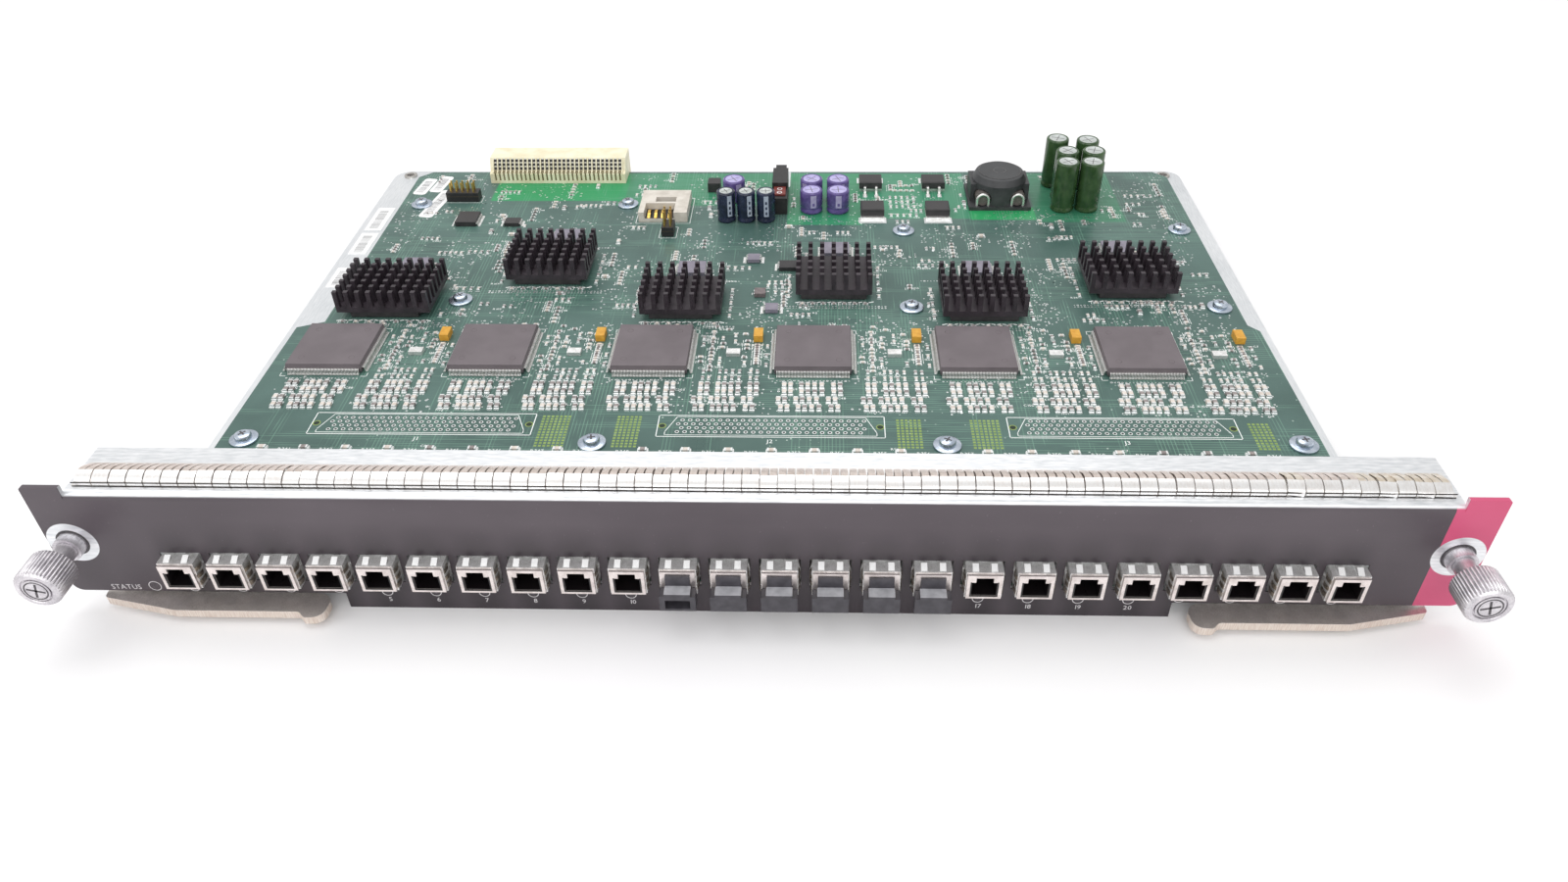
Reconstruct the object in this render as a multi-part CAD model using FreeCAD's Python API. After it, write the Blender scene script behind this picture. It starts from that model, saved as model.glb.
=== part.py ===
"""Switch line card: a fibre port module that slides into a chassis.

Millimetres, +Z up, +X to the right seen from the faceplate, +Y from the faceplate to the
backplane. The construction frame has its origin on the faceplate's front, midway along it,
at the height of the board's top side. The last step moves every solid so that the frame's
origin lies under the middle of the whole card.
"""
import FreeCAD, Part
import math
import os

V = FreeCAD.Vector
X, Y, Z = V(1, 0, 0), V(0, 1, 0), V(0, 0, 1)

# ---- driving sizes -------------------------------------------------------------------
# faceplate: one folded sheet with an ear at each end
PANEL_W = 392.0
PANEL_T = 1.5
PANEL_TOP = 33.3          # over the folded top
PANEL_BOTTOM = -9.0       # between the levers
EAR_RISE = 2.1            # the ears stand this far over the folded top
EAR_W = 10.7
END_BOTTOM = -3.3         # lower edge over the levers
LEVER_CUT_X = 117.0       # where the lower edge steps up for a lever
FLANGE_DEPTH = 20.2
BEND_R = 2.2

# tray: one pressed pan with a flat rim that runs in the card guides
TRAY_W = 370.4
TRAY_REAR = 277.6
TRAY_T = 1.2
PAN_W = 300.0
PAN_REAR = TRAY_REAR - 19.6
PAN_NECK_Y = 27.0         # the pan is narrower ahead of this line, to leave the levers room

# printed circuit board
PCB_T = 2.4
PCB_FRONT = 3.6
PCB_REAR = TRAY_REAR - 6.1
PCB_W_FRONT = 362.0
PCB_LEFT_REAR = -171.5
PCB_RIGHT_REAR = 177.5
PCB_JOG_Y = 139.0
PCB_JOG_SLOPE = 4.0
NOTCH_X0, NOTCH_X1, NOTCH_Y = -4.0, 3.8, PCB_REAR - 16.0

# fibre ports
PORTS = 24
PORT_PITCH = 13.97
PORT_SHIFT = 0.5          # the row's middle, right of the panel's middle
BANK = 4                  # ports served by one physical-layer chip
NOSE_W, NOSE_H = 9.6, 8.7
NOSE_Z = 2.35
NOSE_OUT = 4.7            # how far a nose stands out of the panel
NOSE_BACK = 7.0
MOUTH_W, MOUTH_H = 6.9, 5.1
KEY_W, KEY_H = 4.75, 1.65
MOUTH_DEPTH = 9.5
XCVR_W, XCVR_TOP, XCVR_BACK = 13.5, 11.4, 44.3
SHIELD_T = 0.25
SHIELD_GAP = 0.05
CUTOUT_GAP = 0.95         # panel cut-out to nose, filled by the shield's fingers
FINGER_RISE = 0.6

# dust plugs, in a run of neighbouring ports
PLUG_PORTS = (11, 12, 13, 14, 15, 16)
PLUG_GAP = 0.12
GRIP_W, GRIP_TOP, GRIP_H = 10.0, 5.3, 5.4
GRIP_OUT = 3.6
STEP_W, STEP_H = 6.8, 1.05
NECK_TOP = 10.0

# ejector levers
LEVER_T = 2.7
LEVER_TOP = -4.4
PIVOT_X, PIVOT_Y = 167.5, 9.2
PIVOT_R = 2.5
PIVOT_FIT = 0.05
PIVOT_HEAD_R, PIVOT_HEAD_H = 4.5, 1.2
LEVER_GAP = 0.1           # lever to the pivot's head and collar

# captive screws at the ears
SCREW_X, SCREW_Z = PANEL_W / 2 - 7.0, 15.5
FERRULE_R, FERRULE_OUT, FERRULE_BACK = 3.9, 3.2, 3.6
SHAFT_R = 2.9
SHAFT_FIT = 0.06
KNOB_R, KNOB_L, KNOB_FRONT = 6.25, 10.2, 18.7
KNOB_RIBS = 24
RIB_DEPTH = 0.4
RING_R, RING_T = 3.7, 0.7
RING_GAP = 0.08           # ring to each wall of its groove
GROOVE_R = 1.9
THREAD_TAIL_R = 2.4
SLOT_W, SLOT_DEPTH = 1.2, 1.4
THREAD_TAIL = 7.0

# board hardware
HOLE_R = 1.75
SHANK_R = 1.45
THREAD_R = 1.5
HEAD_R, HEAD_H = 2.75, 2.0
SCREW_GRIP = 2.6          # how far a screw reaches below the board
WASHER_R, WASHER_T = 4.6, 0.8
STANDOFF_R = 3.6          # over a post's corners
THREAD_DEPTH = 4.0
NUT_R, NUT_H = 3.0, 2.2
FLOOR_SCREWS = ((-68.4, PCB_REAR - 34.0), (53.4, PCB_REAR - 58.8), (-123.0, 154.8), (53.2, 150.5),
                (-56.5, 65.3), (59.7, 65.4))
RIM_SCREWS = ((-172.8, 66.1), (174.4, 66.8), (170.5, PCB_REAR - 57.6), (170.4, 151.2), (-161.9, PCB_REAR - 34.1))
EYELET_X, EYELET_Y = TRAY_W / 2 - 7.4, TRAY_REAR - 5.0
EYELET_R, EYELET_HOLE_R, EYELET_LIP = 3.0, 1.7, 0.6

# finger gasket on the folded top
GASKET_Y0, GASKET_DEPTH = 3.3, 10.2
GASKET_LIP, GASKET_RISE = 1.7, 3.3
GASKET_CREST = 4.2        # the crest's distance behind the lip
GASKET_T = 0.35
GASKET_PITCH = 4.75
GASKET_SLOT = 0.45
GASKET_END = 1.2          # the strip stops this far inside the folded top's ends

# chips
PHY_X0, PHY_PITCH, PHY_Y = -173.3, 58.4, 104.8
PHY_SIZE, PHY_H = 27.6, 3.4
CHIP_LIFT = 0.35          # under a chip's body, where its leads or balls are
SINK_BASE_T, SINK_PIN_H, SINK_PIN = 2.2, 6.6, 1.7
SINK_TILE = 4.15
SINKS = ((-149.0, 155.0, 36.0, 27.0), (-91.0, 180.0, 32.5, 27.0), (-35.0, 153.5, 31.0, 25.0),
         (23.3, 169.0, 29.5, 26.5), (80.0, 153.5, 31.5, 26.5), (138.8, 170.5, 34.0, 26.5))
MAC_SIZE, MAC_H = 27.0, 2.3
MEMORY_W, MEMORY_D, MEMORY_H = 11.0, 9.5, 2.4
MEMORY_GAP, MEMORY_SHIFT = 7.0, 1.0

# connectors and big parts
BP_X, BP_W, BP_Y, BP_REAR = -104.0, 63.0, PCB_REAR - 11.9, PCB_REAR + 3.9
BP_COLUMNS, BP_COLUMN_PITCH = 30, 2.0
BP_TOP, BP_SLOT_W = 10.6, 0.8
BP_ROWS, BP_ROW_Z, BP_CAVITY, BP_CAVITY_DEPTH = 5, 0.1, 1.1, 2.5
POWER_X, POWER_W = -0.2, 6.8
SOCKET_X, SOCKET_W, SOCKET_H, SOCKET_FLOOR = -50.85, 21.3, 4.6, 1.6
# capacitors, as (x, distance ahead of the board's rear edge)
GREEN_CAPS = ((123.5, 12.8), (136.5, 14.6), (125.7, 26.0), (137.2, 25.8), (124.0, 37.3), (134.6, 37.3))
GREEN_R, GREEN_H = 5.0, 22.5
PURPLE_CAPS = ((13.8, 39.0), (25.5, 39.0), (13.8, 28.0), (25.5, 28.0), (-20.9, 28.3))
PURPLE_R, PURPLE_H = 4.95, 10.2
NAVY_CAPS = ((-23.0, 48.1), (-14.4, 48.1), (-5.8, 48.1))
NAVY_R, NAVY_H = 4.0, 14.0
COIL_X, COIL_Y, COIL_W, COIL_D, COIL_H = 96.8, PCB_REAR - 27.3, 27.0, 24.0, 13.6
COIL_SOLE, COIL_SHOULDER, COIL_CROWN = 1.6, 9.6, 10.4   # heights of the cover's steps
LEAD_X, LEAD_Z, LEAD_R, LEAD_WINDOW_R = 7.6, 4.6, 3.2, 3.6
# power transistors, as (x, distance ahead of the rear edge, which way the legs point)
TRANSISTORS = ((40.5, 42.6, 1), (40.5, 15.9, -1), (68.9, 42.6, 1), (68.9, 15.9, -1))
TAB_W, TAB_T, CASE_D, CASE_TOP = 10.2, 1.3, 9.0, 4.5
LEG_PITCH, LEG_W, LEG_T, LEG_BEND_TOP = 2.54, 0.9, 0.6, 2.6
# small chips, as (x, rear edge's distance ahead of the board's rear edge, width, depth, underside, top)
SMALL_CHIPS = ((-136.8, 44.7, 9.0, 10.2, 0.1, 2.2), (-116.5, 49.7, 6.4, 5.2, 0.1, 1.7),
               (-30.7, 15.5, 5.6, 6.0, 0, 4.4), (5.0, 87.0, 7.4, 6.0, 0.1, 1.7))
# pin headers: pins on a 0.1 inch grid
PIN_PITCH, PIN_W, HEADER_BASE = 2.54, 0.64, 2.5
TANTALUM_X = (-121.8, -63.4, -4.7, 53.6, 111.8, 171.1)
TANTALUM_W, TANTALUM_Y0, TANTALUM_Y1, TANTALUM_H = 3.4, 126.2, 132.0, 2.6
OSC_X = (-130.0, -71.6, -13.4, 45.1, 103.2, 161.3)
OSC_W, OSC_Y0, OSC_Y1, OSC_H = 5.0, 116.6, 119.9, 1.4

SEAT = 0.02               # flat faces of one body that rest on each other
parts = {}


# ---- shape helpers ---------------------------------------------------------------------
def block(x0, x1, y0, y1, z0, z1):
    return Part.makeBox(x1 - x0, y1 - y0, z1 - z0, V(x0, y0, z0))


def slab(cx, width, y0, y1, z0, z1):
    return block(cx - width / 2, cx + width / 2, y0, y1, z0, z1)


def rod(x, y, z, r, h, axis=Z):
    return Part.makeCylinder(r, h, V(x, y, z), axis)


def outline(points, lift):
    """A closed wire through (a, b, radius) corners. lift turns (a, b) into a point."""
    ends = []
    for i, (a, b, r) in enumerate(points):
        here = lift(a, b)
        before = lift(*points[i - 1][:2])
        after = lift(*points[(i + 1) % len(points)][:2])
        if r == 0:
            ends.append((here, here, None))
            continue
        u = (before - here).normalize()
        w = (after - here).normalize()
        half = math.acos(max(-1.0, min(1.0, u.dot(w)))) / 2
        reach = r / math.tan(half)
        middle = here + (u + w).normalize() * (r / math.sin(half))
        ends.append((here + u * reach, here + w * reach, middle + (here - middle).normalize() * r))
    edges = []
    for i, (start, end, mid) in enumerate(ends):
        if mid is not None:
            edges.append(Part.Arc(start, mid, end).toShape())
        following = ends[(i + 1) % len(ends)][0]
        if (following - end).Length > 1e-6:
            edges.append(Part.LineSegment(end, following).toShape())
    return Part.Wire(Part.__sortEdges__(edges))


def plate(points, z0, z1):
    """An outline in plan, raised from z0 to z1."""
    return Part.Face(outline(points, lambda a, b: V(a, b, z0))).extrude(V(0, 0, z1 - z0))


def across(points, x0, x1):
    """A section given as (y, z, radius), drawn along X."""
    return Part.Face(outline(points, lambda a, b: V(x0, a, b))).extrude(V(x1 - x0, 0, 0))


def front(points, y0, y1):
    """An outline given as (x, z, radius) on the faceplate, drawn along Y."""
    return Part.Face(outline(points, lambda a, b: V(a, y0, b))).extrude(V(0, y1 - y0, 0))


def turned(profile, x, y, axis_z=0.0):
    """A solid of revolution about a vertical axis from (radius, z) points."""
    pts = [V(x + r, y, axis_z + z) for r, z in profile]
    face = Part.Face(Part.makePolygon(pts + [pts[0]]))
    return face.revolve(V(x, y, 0), Z, 360)


def cut_all(shape, tools):
    return shape.cut(Part.makeCompound(tools)) if tools else shape


def fused(shapes):
    first, rest = shapes[0], shapes[1:]
    return first.fuse(rest).removeSplitter() if rest else first


def put(name, shapes):
    """Keep one node: a solid, or a group of separate solids."""
    solids = []
    for shape in shapes if isinstance(shapes, (list, tuple)) else [shapes]:
        solids += shape.Solids
    parts[name] = solids


def mirrored(shape):
    return shape.mirror(V(0, 0, 0), X)


# ---- places that several pieces share ------------------------------------------------------
FLOOR_BOTTOM = PANEL_BOTTOM
FLOOR_TOP = PANEL_BOTTOM + TRAY_T
RIM_TOP = -PCB_T
RIM_BOTTOM = RIM_TOP - TRAY_T
EAR_X = PANEL_W / 2 - EAR_W
FLANGE_HALF = EAR_X
NECK_HALF = LEVER_CUT_X - 1.0
MOUTH_Z = NOSE_Z + (NOSE_H - MOUTH_H - KEY_H) / 2


def port_x(number):
    """The middle of port 1 to PORTS, counted from the left."""
    return PORT_SHIFT + (number - (PORTS + 1) / 2) * PORT_PITCH


def phy_x(i):
    return PHY_X0 + i * PHY_PITCH + PHY_SIZE / 2


# ---- sheet metal ---------------------------------------------------------------------------
def faceplate():
    inner = BEND_R - PANEL_T
    section = [(0, PANEL_BOTTOM, 0), (0, PANEL_TOP, BEND_R), (FLANGE_DEPTH, PANEL_TOP, 0),
               (FLANGE_DEPTH, PANEL_TOP - PANEL_T, 0), (PANEL_T, PANEL_TOP - PANEL_T, inner),
               (PANEL_T, PANEL_BOTTOM, 0)]
    folded = across(section, -FLANGE_HALF, FLANGE_HALF)
    ear_top = PANEL_TOP + EAR_RISE
    ear = [(EAR_X - 0.01, ear_top, 0), (PANEL_W / 2, ear_top, 0.8), (PANEL_W / 2, END_BOTTOM, 3.0),
           (EAR_X - 0.01, END_BOTTOM, 0)]
    right = front(ear, 0, PANEL_T)
    shape = fused([folded, right, mirrored(right)])
    tools = []
    for side in (-1, 1):
        x0, x1 = sorted((side * LEVER_CUT_X, side * (PANEL_W / 2 + 1)))
        tools.append(block(x0, x1, -1, PANEL_T + 1, PANEL_BOTTOM - 1, END_BOTTOM))
        tools.append(rod(side * SCREW_X, -1, SCREW_Z, FERRULE_R, PANEL_T + 2, Y))
    for n in range(1, PORTS + 1):
        w, h = NOSE_W + 2 * CUTOUT_GAP, NOSE_H + 2 * CUTOUT_GAP
        tools.append(slab(port_x(n), w, -1, PANEL_T + 1, NOSE_Z - CUTOUT_GAP, NOSE_Z - CUTOUT_GAP + h))
    put("faceplate", cut_all(shape, tools))


def gasket():
    """A strip of spring fingers along the folded top: a hooked lip, a crest and a long back."""
    z = PANEL_TOP + SEAT
    y0, y1 = GASKET_Y0, GASKET_Y0 + GASKET_DEPTH
    crest = y0 + GASKET_CREST
    t = GASKET_T
    back = t * math.hypot(1, (y1 - crest) / GASKET_RISE)
    section = [(y0, z, 0), (y0, z + GASKET_LIP, 0), (crest, z + GASKET_RISE, 0), (y1, z, 0), (y1 - back, z, 0),
               (crest, z + GASKET_RISE - t * 1.05, 0), (y0 + t, z + GASKET_LIP - t * 0.2, 0), (y0 + t, z, 0)]
    half = FLANGE_HALF - GASKET_END
    strip = across(section, -half, half)
    count = int(2 * half // GASKET_PITCH)
    first = -GASKET_PITCH * (count - 1) / 2
    top = z + GASKET_RISE + 1
    slots = [slab(first + i * GASKET_PITCH, GASKET_SLOT, y0 + t + 0.1, y1 - 1.6, z + 0.4, top) for i in range(count)]
    put("emi_gasket", cut_all(strip, slots))


def tray():
    """The pressed pan, its rim and the upstand behind the faceplate."""
    half, rear = TRAY_W / 2, TRAY_REAR
    front_y = PANEL_T + SEAT
    rim = plate([(-half, front_y, 0), (half, front_y, 0), (half, rear, 7), (-half, rear, 7)], RIM_BOTTOM, RIM_TOP)

    def pan(inset, z0, z1):
        w, n = PAN_W / 2 - inset, NECK_HALF - inset
        y0, y1, y2 = front_y + inset, PAN_NECK_Y + inset, PAN_REAR - inset
        return plate([(-n, y0, 0), (n, y0, 0), (n, y1, 3), (w, y1, 5), (w, y2, 5), (-w, y2, 5), (-w, y1, 5),
                      (-n, y1, 3)], z0, z1)

    shape = rim.fuse(pan(0, FLOOR_BOTTOM, RIM_TOP))
    shape = shape.cut(pan(TRAY_T, FLOOR_TOP, RIM_TOP + 1))
    tools = [rod(x, y, RIM_BOTTOM - 1, HOLE_R, TRAY_T + 2) for x, y in RIM_SCREWS]
    for side in (-1, 1):
        tools.append(rod(side * EYELET_X, EYELET_Y, RIM_BOTTOM - 1, EYELET_R - EYELET_LIP, TRAY_T + 2))
    put("carrier_tray", cut_all(shape, tools).removeSplitter())

    eyelets = []
    for side in (-1, 1):
        body = rod(side * EYELET_X, EYELET_Y, RIM_BOTTOM, EYELET_R - EYELET_LIP, TRAY_T)
        lip = rod(side * EYELET_X, EYELET_Y, RIM_TOP, EYELET_R, EYELET_LIP)
        hole = rod(side * EYELET_X, EYELET_Y, RIM_BOTTOM - 1, EYELET_HOLE_R, TRAY_T + 3)
        eyelets.append(fused([body, lip]).cut(hole))
    put("tray_eyelets", eyelets)


# ---- board and its fixings -----------------------------------------------------------------------
def board():
    half = PCB_W_FRONT / 2
    jog = PCB_JOG_Y
    chamfer = 5.5
    points = [(-half, PCB_FRONT, 0), (half, PCB_FRONT, 0), (half, jog - PCB_JOG_SLOPE, 0),
              (PCB_RIGHT_REAR, jog, 0), (PCB_RIGHT_REAR, PCB_REAR - chamfer, 0),
              (PCB_RIGHT_REAR - chamfer, PCB_REAR, 0), (NOTCH_X1, PCB_REAR, 0), (NOTCH_X1, NOTCH_Y, 1.0),
              (NOTCH_X0, NOTCH_Y, 1.0), (NOTCH_X0, PCB_REAR, 0), (PCB_LEFT_REAR + chamfer, PCB_REAR, 0),
              (PCB_LEFT_REAR, PCB_REAR - chamfer, 0), (PCB_LEFT_REAR, jog, 0), (-half, jog - PCB_JOG_SLOPE, 0)]
    shape = plate(points, RIM_TOP, 0)
    tools = [rod(x, y, -PCB_T - 1, HOLE_R, PCB_T + 2) for x, y in FLOOR_SCREWS + RIM_SCREWS]
    put("circuit_board", cut_all(shape, tools))


def fixings():
    """Screws with captive washers, hexagonal posts on the pan's floor and nuts under the rim."""
    screws, posts, nuts = [], [], []
    for x, y in FLOOR_SCREWS + RIM_SCREWS:
        washer = rod(x, y, SEAT, WASHER_R, WASHER_T)
        head = rod(x, y, SEAT + WASHER_T, HEAD_R, HEAD_H)
        shank = rod(x, y, SEAT - PCB_T - SCREW_GRIP, SHANK_R, PCB_T + SCREW_GRIP)
        screws.append(fused([washer, head, shank]))
    for x, y in FLOOR_SCREWS:
        corners = []
        for i in range(6):
            a = math.radians(60 * i)
            corners.append((x + STANDOFF_R * math.cos(a), y + STANDOFF_R * math.sin(a), 0))
        post = plate(corners, FLOOR_TOP, RIM_TOP)
        posts.append(post.cut(rod(x, y, RIM_TOP - THREAD_DEPTH, THREAD_R, THREAD_DEPTH + 1)))
    for x, y in RIM_SCREWS:
        nut = rod(x, y, RIM_BOTTOM - NUT_H, NUT_R, NUT_H)
        nuts.append(nut.cut(rod(x, y, RIM_BOTTOM - NUT_H - 1, THREAD_R, NUT_H + 2)))
    put("board_screws", screws)
    put("board_standoffs", posts)
    put("clinch_nuts", nuts)


# ---- ports -----------------------------------------------------------------------------------------
def transceivers():
    top, back = XCVR_TOP, XCVR_BACK
    for bank in range(PORTS // BANK):
        made = []
        for n in range(bank * BANK + 1, bank * BANK + BANK + 1):
            x = port_x(n)
            nose = slab(x, NOSE_W, -NOSE_OUT, NOSE_BACK, NOSE_Z, NOSE_Z + NOSE_H)
            shape = fused([slab(x, XCVR_W, NOSE_BACK, back, 0, top), nose])
            mouth = slab(x, MOUTH_W, -NOSE_OUT - 1, MOUTH_DEPTH - NOSE_OUT, MOUTH_Z, MOUTH_Z + MOUTH_H)
            key = slab(x, KEY_W, -NOSE_OUT - 1, MOUTH_DEPTH - NOSE_OUT, MOUTH_Z + MOUTH_H - 0.01,
                       MOUTH_Z + MOUTH_H + KEY_H)
            made.append(shape.cut(mouth.fuse(key)))
        put("transceiver_bank_%d" % (bank + 1), made)


def shields():
    """A spring collar round each nose, with fingers that bear on the panel's cut-out."""
    made = []
    gap, t = SHIELD_GAP, SHIELD_T
    y0, y1 = -NOSE_OUT + 0.9, 4.5
    rise = FINGER_RISE
    for n in range(1, PORTS + 1):
        x = port_x(n)
        outer_w, outer_h = NOSE_W + 2 * (gap + t), NOSE_H + 2 * (gap + t)
        collar = slab(x, outer_w, y0, y1, NOSE_Z - gap - t, NOSE_Z - gap - t + outer_h)
        fingers = []
        z = NOSE_Z + NOSE_H + gap + t
        for s in (-1, 1):
            wedge = [(y0, z - 0.1, 0), (y0, z, 0), (0.2, z + rise - 0.15, 0), (2.6, z, 0), (2.6, z - 0.1, 0)]
            fx = x + s * 2.55
            fingers.append(across(wedge, fx - 0.95, fx + 0.95))
            fz = NOSE_Z + NOSE_H / 2
            e = x + s * outer_w / 2
            side = [(e - s * 0.1, y0, 0), (e, y0, 0), (e + s * rise, 0.2, 0), (e, 2.6, 0), (e - s * 0.1, 2.6, 0)]
            fingers.append(plate(side, fz - 1.6, fz + 1.6))
        hole = slab(x, NOSE_W + 2 * gap, y0 - 1, y1 + 1, NOSE_Z - gap, NOSE_Z + NOSE_H + gap)
        made.append(fused([collar] + fingers).cut(hole))
    put("nose_shields", made)


def dust_plugs():
    g = PLUG_GAP
    face = -NOSE_OUT - 0.1
    for n in PLUG_PORTS:
        x = port_x(n)
        low = slab(x, MOUTH_W - 2 * g, face, 2.6, MOUTH_Z + g, MOUTH_Z + MOUTH_H - g)
        neck = slab(x, STEP_W, face - 0.45, face, MOUTH_Z + g, NECK_TOP)
        step = slab(x, STEP_W + 0.4, face - GRIP_OUT, face - 0.4, GRIP_TOP - 0.5, GRIP_TOP + STEP_H)
        grip = slab(x, GRIP_W, face - GRIP_OUT, face, GRIP_TOP - GRIP_H, GRIP_TOP)
        lug = slab(x, KEY_W - 2 * g, face, 2.6, MOUTH_Z + MOUTH_H - g - 0.01, MOUTH_Z + MOUTH_H + KEY_H - g)
        shape = fused([low, neck, step, grip, lug])
        if n == PLUG_PORTS[0]:
            shape = shape.cut(slab(x, 6.9, face - GRIP_OUT - 1, face - 0.8, GRIP_TOP - 4.6, GRIP_TOP - 1.4))
        put("dust_plug_%d" % n, shape)


# ---- levers and captive screws ------------------------------------------------------------------------
def levers():
    z0, z1 = LEVER_TOP - LEVER_T, LEVER_TOP
    # the right lever in plan: cam tip outside, finger end towards the middle
    points = [(187.0, -1.6, 1.2), (164.2, -6.4, 4), (128.6, -6.4, 2), (126.6, -8.6, 1.8), (121.4, -8.2, 3.2),
              (120.8, 0.6, 4), (150.0, 2.2, 8), (158.0, 17.5, 8), (177.0, 18.0, 8), (178.6, 5.0, 3),
              (187.2, 2.2, 1.2)]
    arm = plate(points, z0, z1)
    arm = arm.cut(rod(PIVOT_X, PIVOT_Y, z0 - 1, PIVOT_R + PIVOT_FIT, LEVER_T + 2))
    put("right_lever", arm)
    put("left_lever", mirrored(arm))
    head_z = z0 - LEVER_GAP - PIVOT_HEAD_H
    seat_z = RIM_BOTTOM - SEAT
    collar = (PIVOT_HEAD_R, z1 + LEVER_GAP)
    rivet = turned([(0, head_z), (PIVOT_HEAD_R, head_z), (PIVOT_HEAD_R, z0 - LEVER_GAP), (PIVOT_R, z0 - LEVER_GAP),
                    (PIVOT_R, collar[1]), collar, (PIVOT_HEAD_R, seat_z), (0, seat_z)], PIVOT_X, PIVOT_Y)
    put("lever_rivets", [rivet, mirrored(rivet)])


def captive_screws():
    """Knob and screw in one, a ferrule swaged in the ear, and the ring that keeps the screw."""
    x, z = SCREW_X, SCREW_Z
    bore = SHAFT_R + SHAFT_FIT
    lip = rod(x, PANEL_T + SEAT, z, FERRULE_R + 0.8, 0.8, Y)
    barrel = rod(x, -FERRULE_OUT, z, FERRULE_R - 0.02, FERRULE_OUT + FERRULE_BACK, Y)
    ferrule = barrel.fuse(lip).removeSplitter().cut(rod(x, -20, z, bore, 60, Y))
    put("right_ferrule", ferrule)
    put("left_ferrule", mirrored(ferrule))

    knob_back = -KNOB_FRONT + KNOB_L
    ring_y = FERRULE_BACK + 0.3
    rib = 2 * math.pi / KNOB_RIBS
    pts = []
    for i in range(KNOB_RIBS):
        for k, r in ((0.0, KNOB_R - RIB_DEPTH), (0.5, KNOB_R)):
            a = (i + k) * rib
            pts.append(V(x + r * math.cos(a), 0, z + r * math.sin(a)))
    knurl = Part.Face(Part.makePolygon(pts + [pts[0]]))
    knurl.translate(V(0, -KNOB_FRONT + 1.0, 0))
    knob = knurl.extrude(V(0, KNOB_L - 1.6, 0))
    rim = rod(x, -KNOB_FRONT, z, KNOB_R - 0.45, KNOB_L, Y)
    shaft = rod(x, knob_back - 1, z, SHAFT_R, ring_y + RING_T + 1.2 - knob_back + 1, Y)
    thread = rod(x, ring_y + RING_T, z, THREAD_TAIL_R, THREAD_TAIL, Y)
    shape = fused([knob, rim, shaft, thread])
    slot = block(x - KNOB_R, x + KNOB_R, -KNOB_FRONT - 1, -KNOB_FRONT + SLOT_DEPTH, z - SLOT_W / 2, z + SLOT_W / 2)
    groove = rod(x, ring_y, z, SHAFT_R + 1, RING_T, Y).cut(rod(x, ring_y - 1, z, GROOVE_R, RING_T + 2, Y))
    shape = cut_all(shape, [slot, groove])
    put("right_screw", shape)
    put("left_screw", mirrored(shape))
    ring = rod(x, ring_y + RING_GAP, z, RING_R, RING_T - 2 * RING_GAP, Y)
    ring = ring.cut(rod(x, ring_y - 1, z, GROOVE_R + SHAFT_FIT, RING_T + 2, Y))
    put("right_retaining_ring", ring)
    put("left_retaining_ring", mirrored(ring))


# ---- parts on the board ---------------------------------------------------------------------------------
def chips():
    for i in range(PORTS // BANK):
        x = phy_x(i)
        h = PHY_SIZE / 2
        y = PHY_Y + h
        z0, z1, z2 = CHIP_LIFT, CHIP_LIFT + PHY_H / 2, CHIP_LIFT + PHY_H
        draft = 0.35
        lower = Part.makeLoft([loop(x, y, h - draft, z0), loop(x, y, h, z1)], True, True)
        upper = Part.makeLoft([loop(x, y, h, z1), loop(x, y, h - draft, z2)], True, True)
        put("phy_chip_%d" % (i + 1), lower.fuse(upper).removeSplitter())
    packages, memories = [], []
    for i, (x, y, w, d) in enumerate(SINKS):
        size = min(MAC_SIZE, w - 2, d - 1)
        packages.append(slab(x, size, y - size / 2, y + size / 2, CHIP_LIFT, CHIP_LIFT + MAC_H))
        put("heat_sink_%d" % (i + 1), heat_sink(x, y, w, d))
        rear = y + d / 2 + MEMORY_GAP
        memories.append(slab(x + MEMORY_SHIFT, MEMORY_W, rear, rear + MEMORY_D, CHIP_LIFT / 2, MEMORY_H))
    put("logic_chips", packages)
    put("memory_chips", memories)


def loop(x, y, half, z):
    return Part.makePolygon([V(x - half, y - half, z), V(x + half, y - half, z), V(x + half, y + half, z),
                             V(x - half, y + half, z), V(x - half, y - half, z)])


def heat_sink(x, y, w, d):
    """A cross-cut extrusion: a base with square pins."""
    z = CHIP_LIFT + MAC_H
    whole = slab(x, w, y - d / 2, y + d / 2, z, z + SINK_BASE_T + SINK_PIN_H)
    columns = round(w / SINK_TILE)
    rows = round(d / SINK_TILE)
    cuts = []
    for count, span, along_x in ((columns, w, True), (rows, d, False)):
        pitch = (span - SINK_PIN) / (count - 1)
        for i in range(count - 1):
            a = -span / 2 + SINK_PIN + i * pitch
            b = a + pitch - SINK_PIN
            top = z + SINK_BASE_T + SINK_PIN_H + 1
            if along_x:
                cuts.append(block(x + a, x + b, y - d / 2 - 1, y + d / 2 + 1, z + SINK_BASE_T, top))
            else:
                cuts.append(block(x - w / 2 - 1, x + w / 2 + 1, y + a, y + b, z + SINK_BASE_T, top))
    return whole.cut(fused(cuts))


def capacitor(x, ahead, r, h):
    """A can with its rounded top edge, so far ahead of the board's rear edge."""
    return turned([(0, 0.1), (r, 0.1), (r, h - 0.9), (r - 0.7, h), (0, h)], x, PCB_REAR - ahead)


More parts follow.
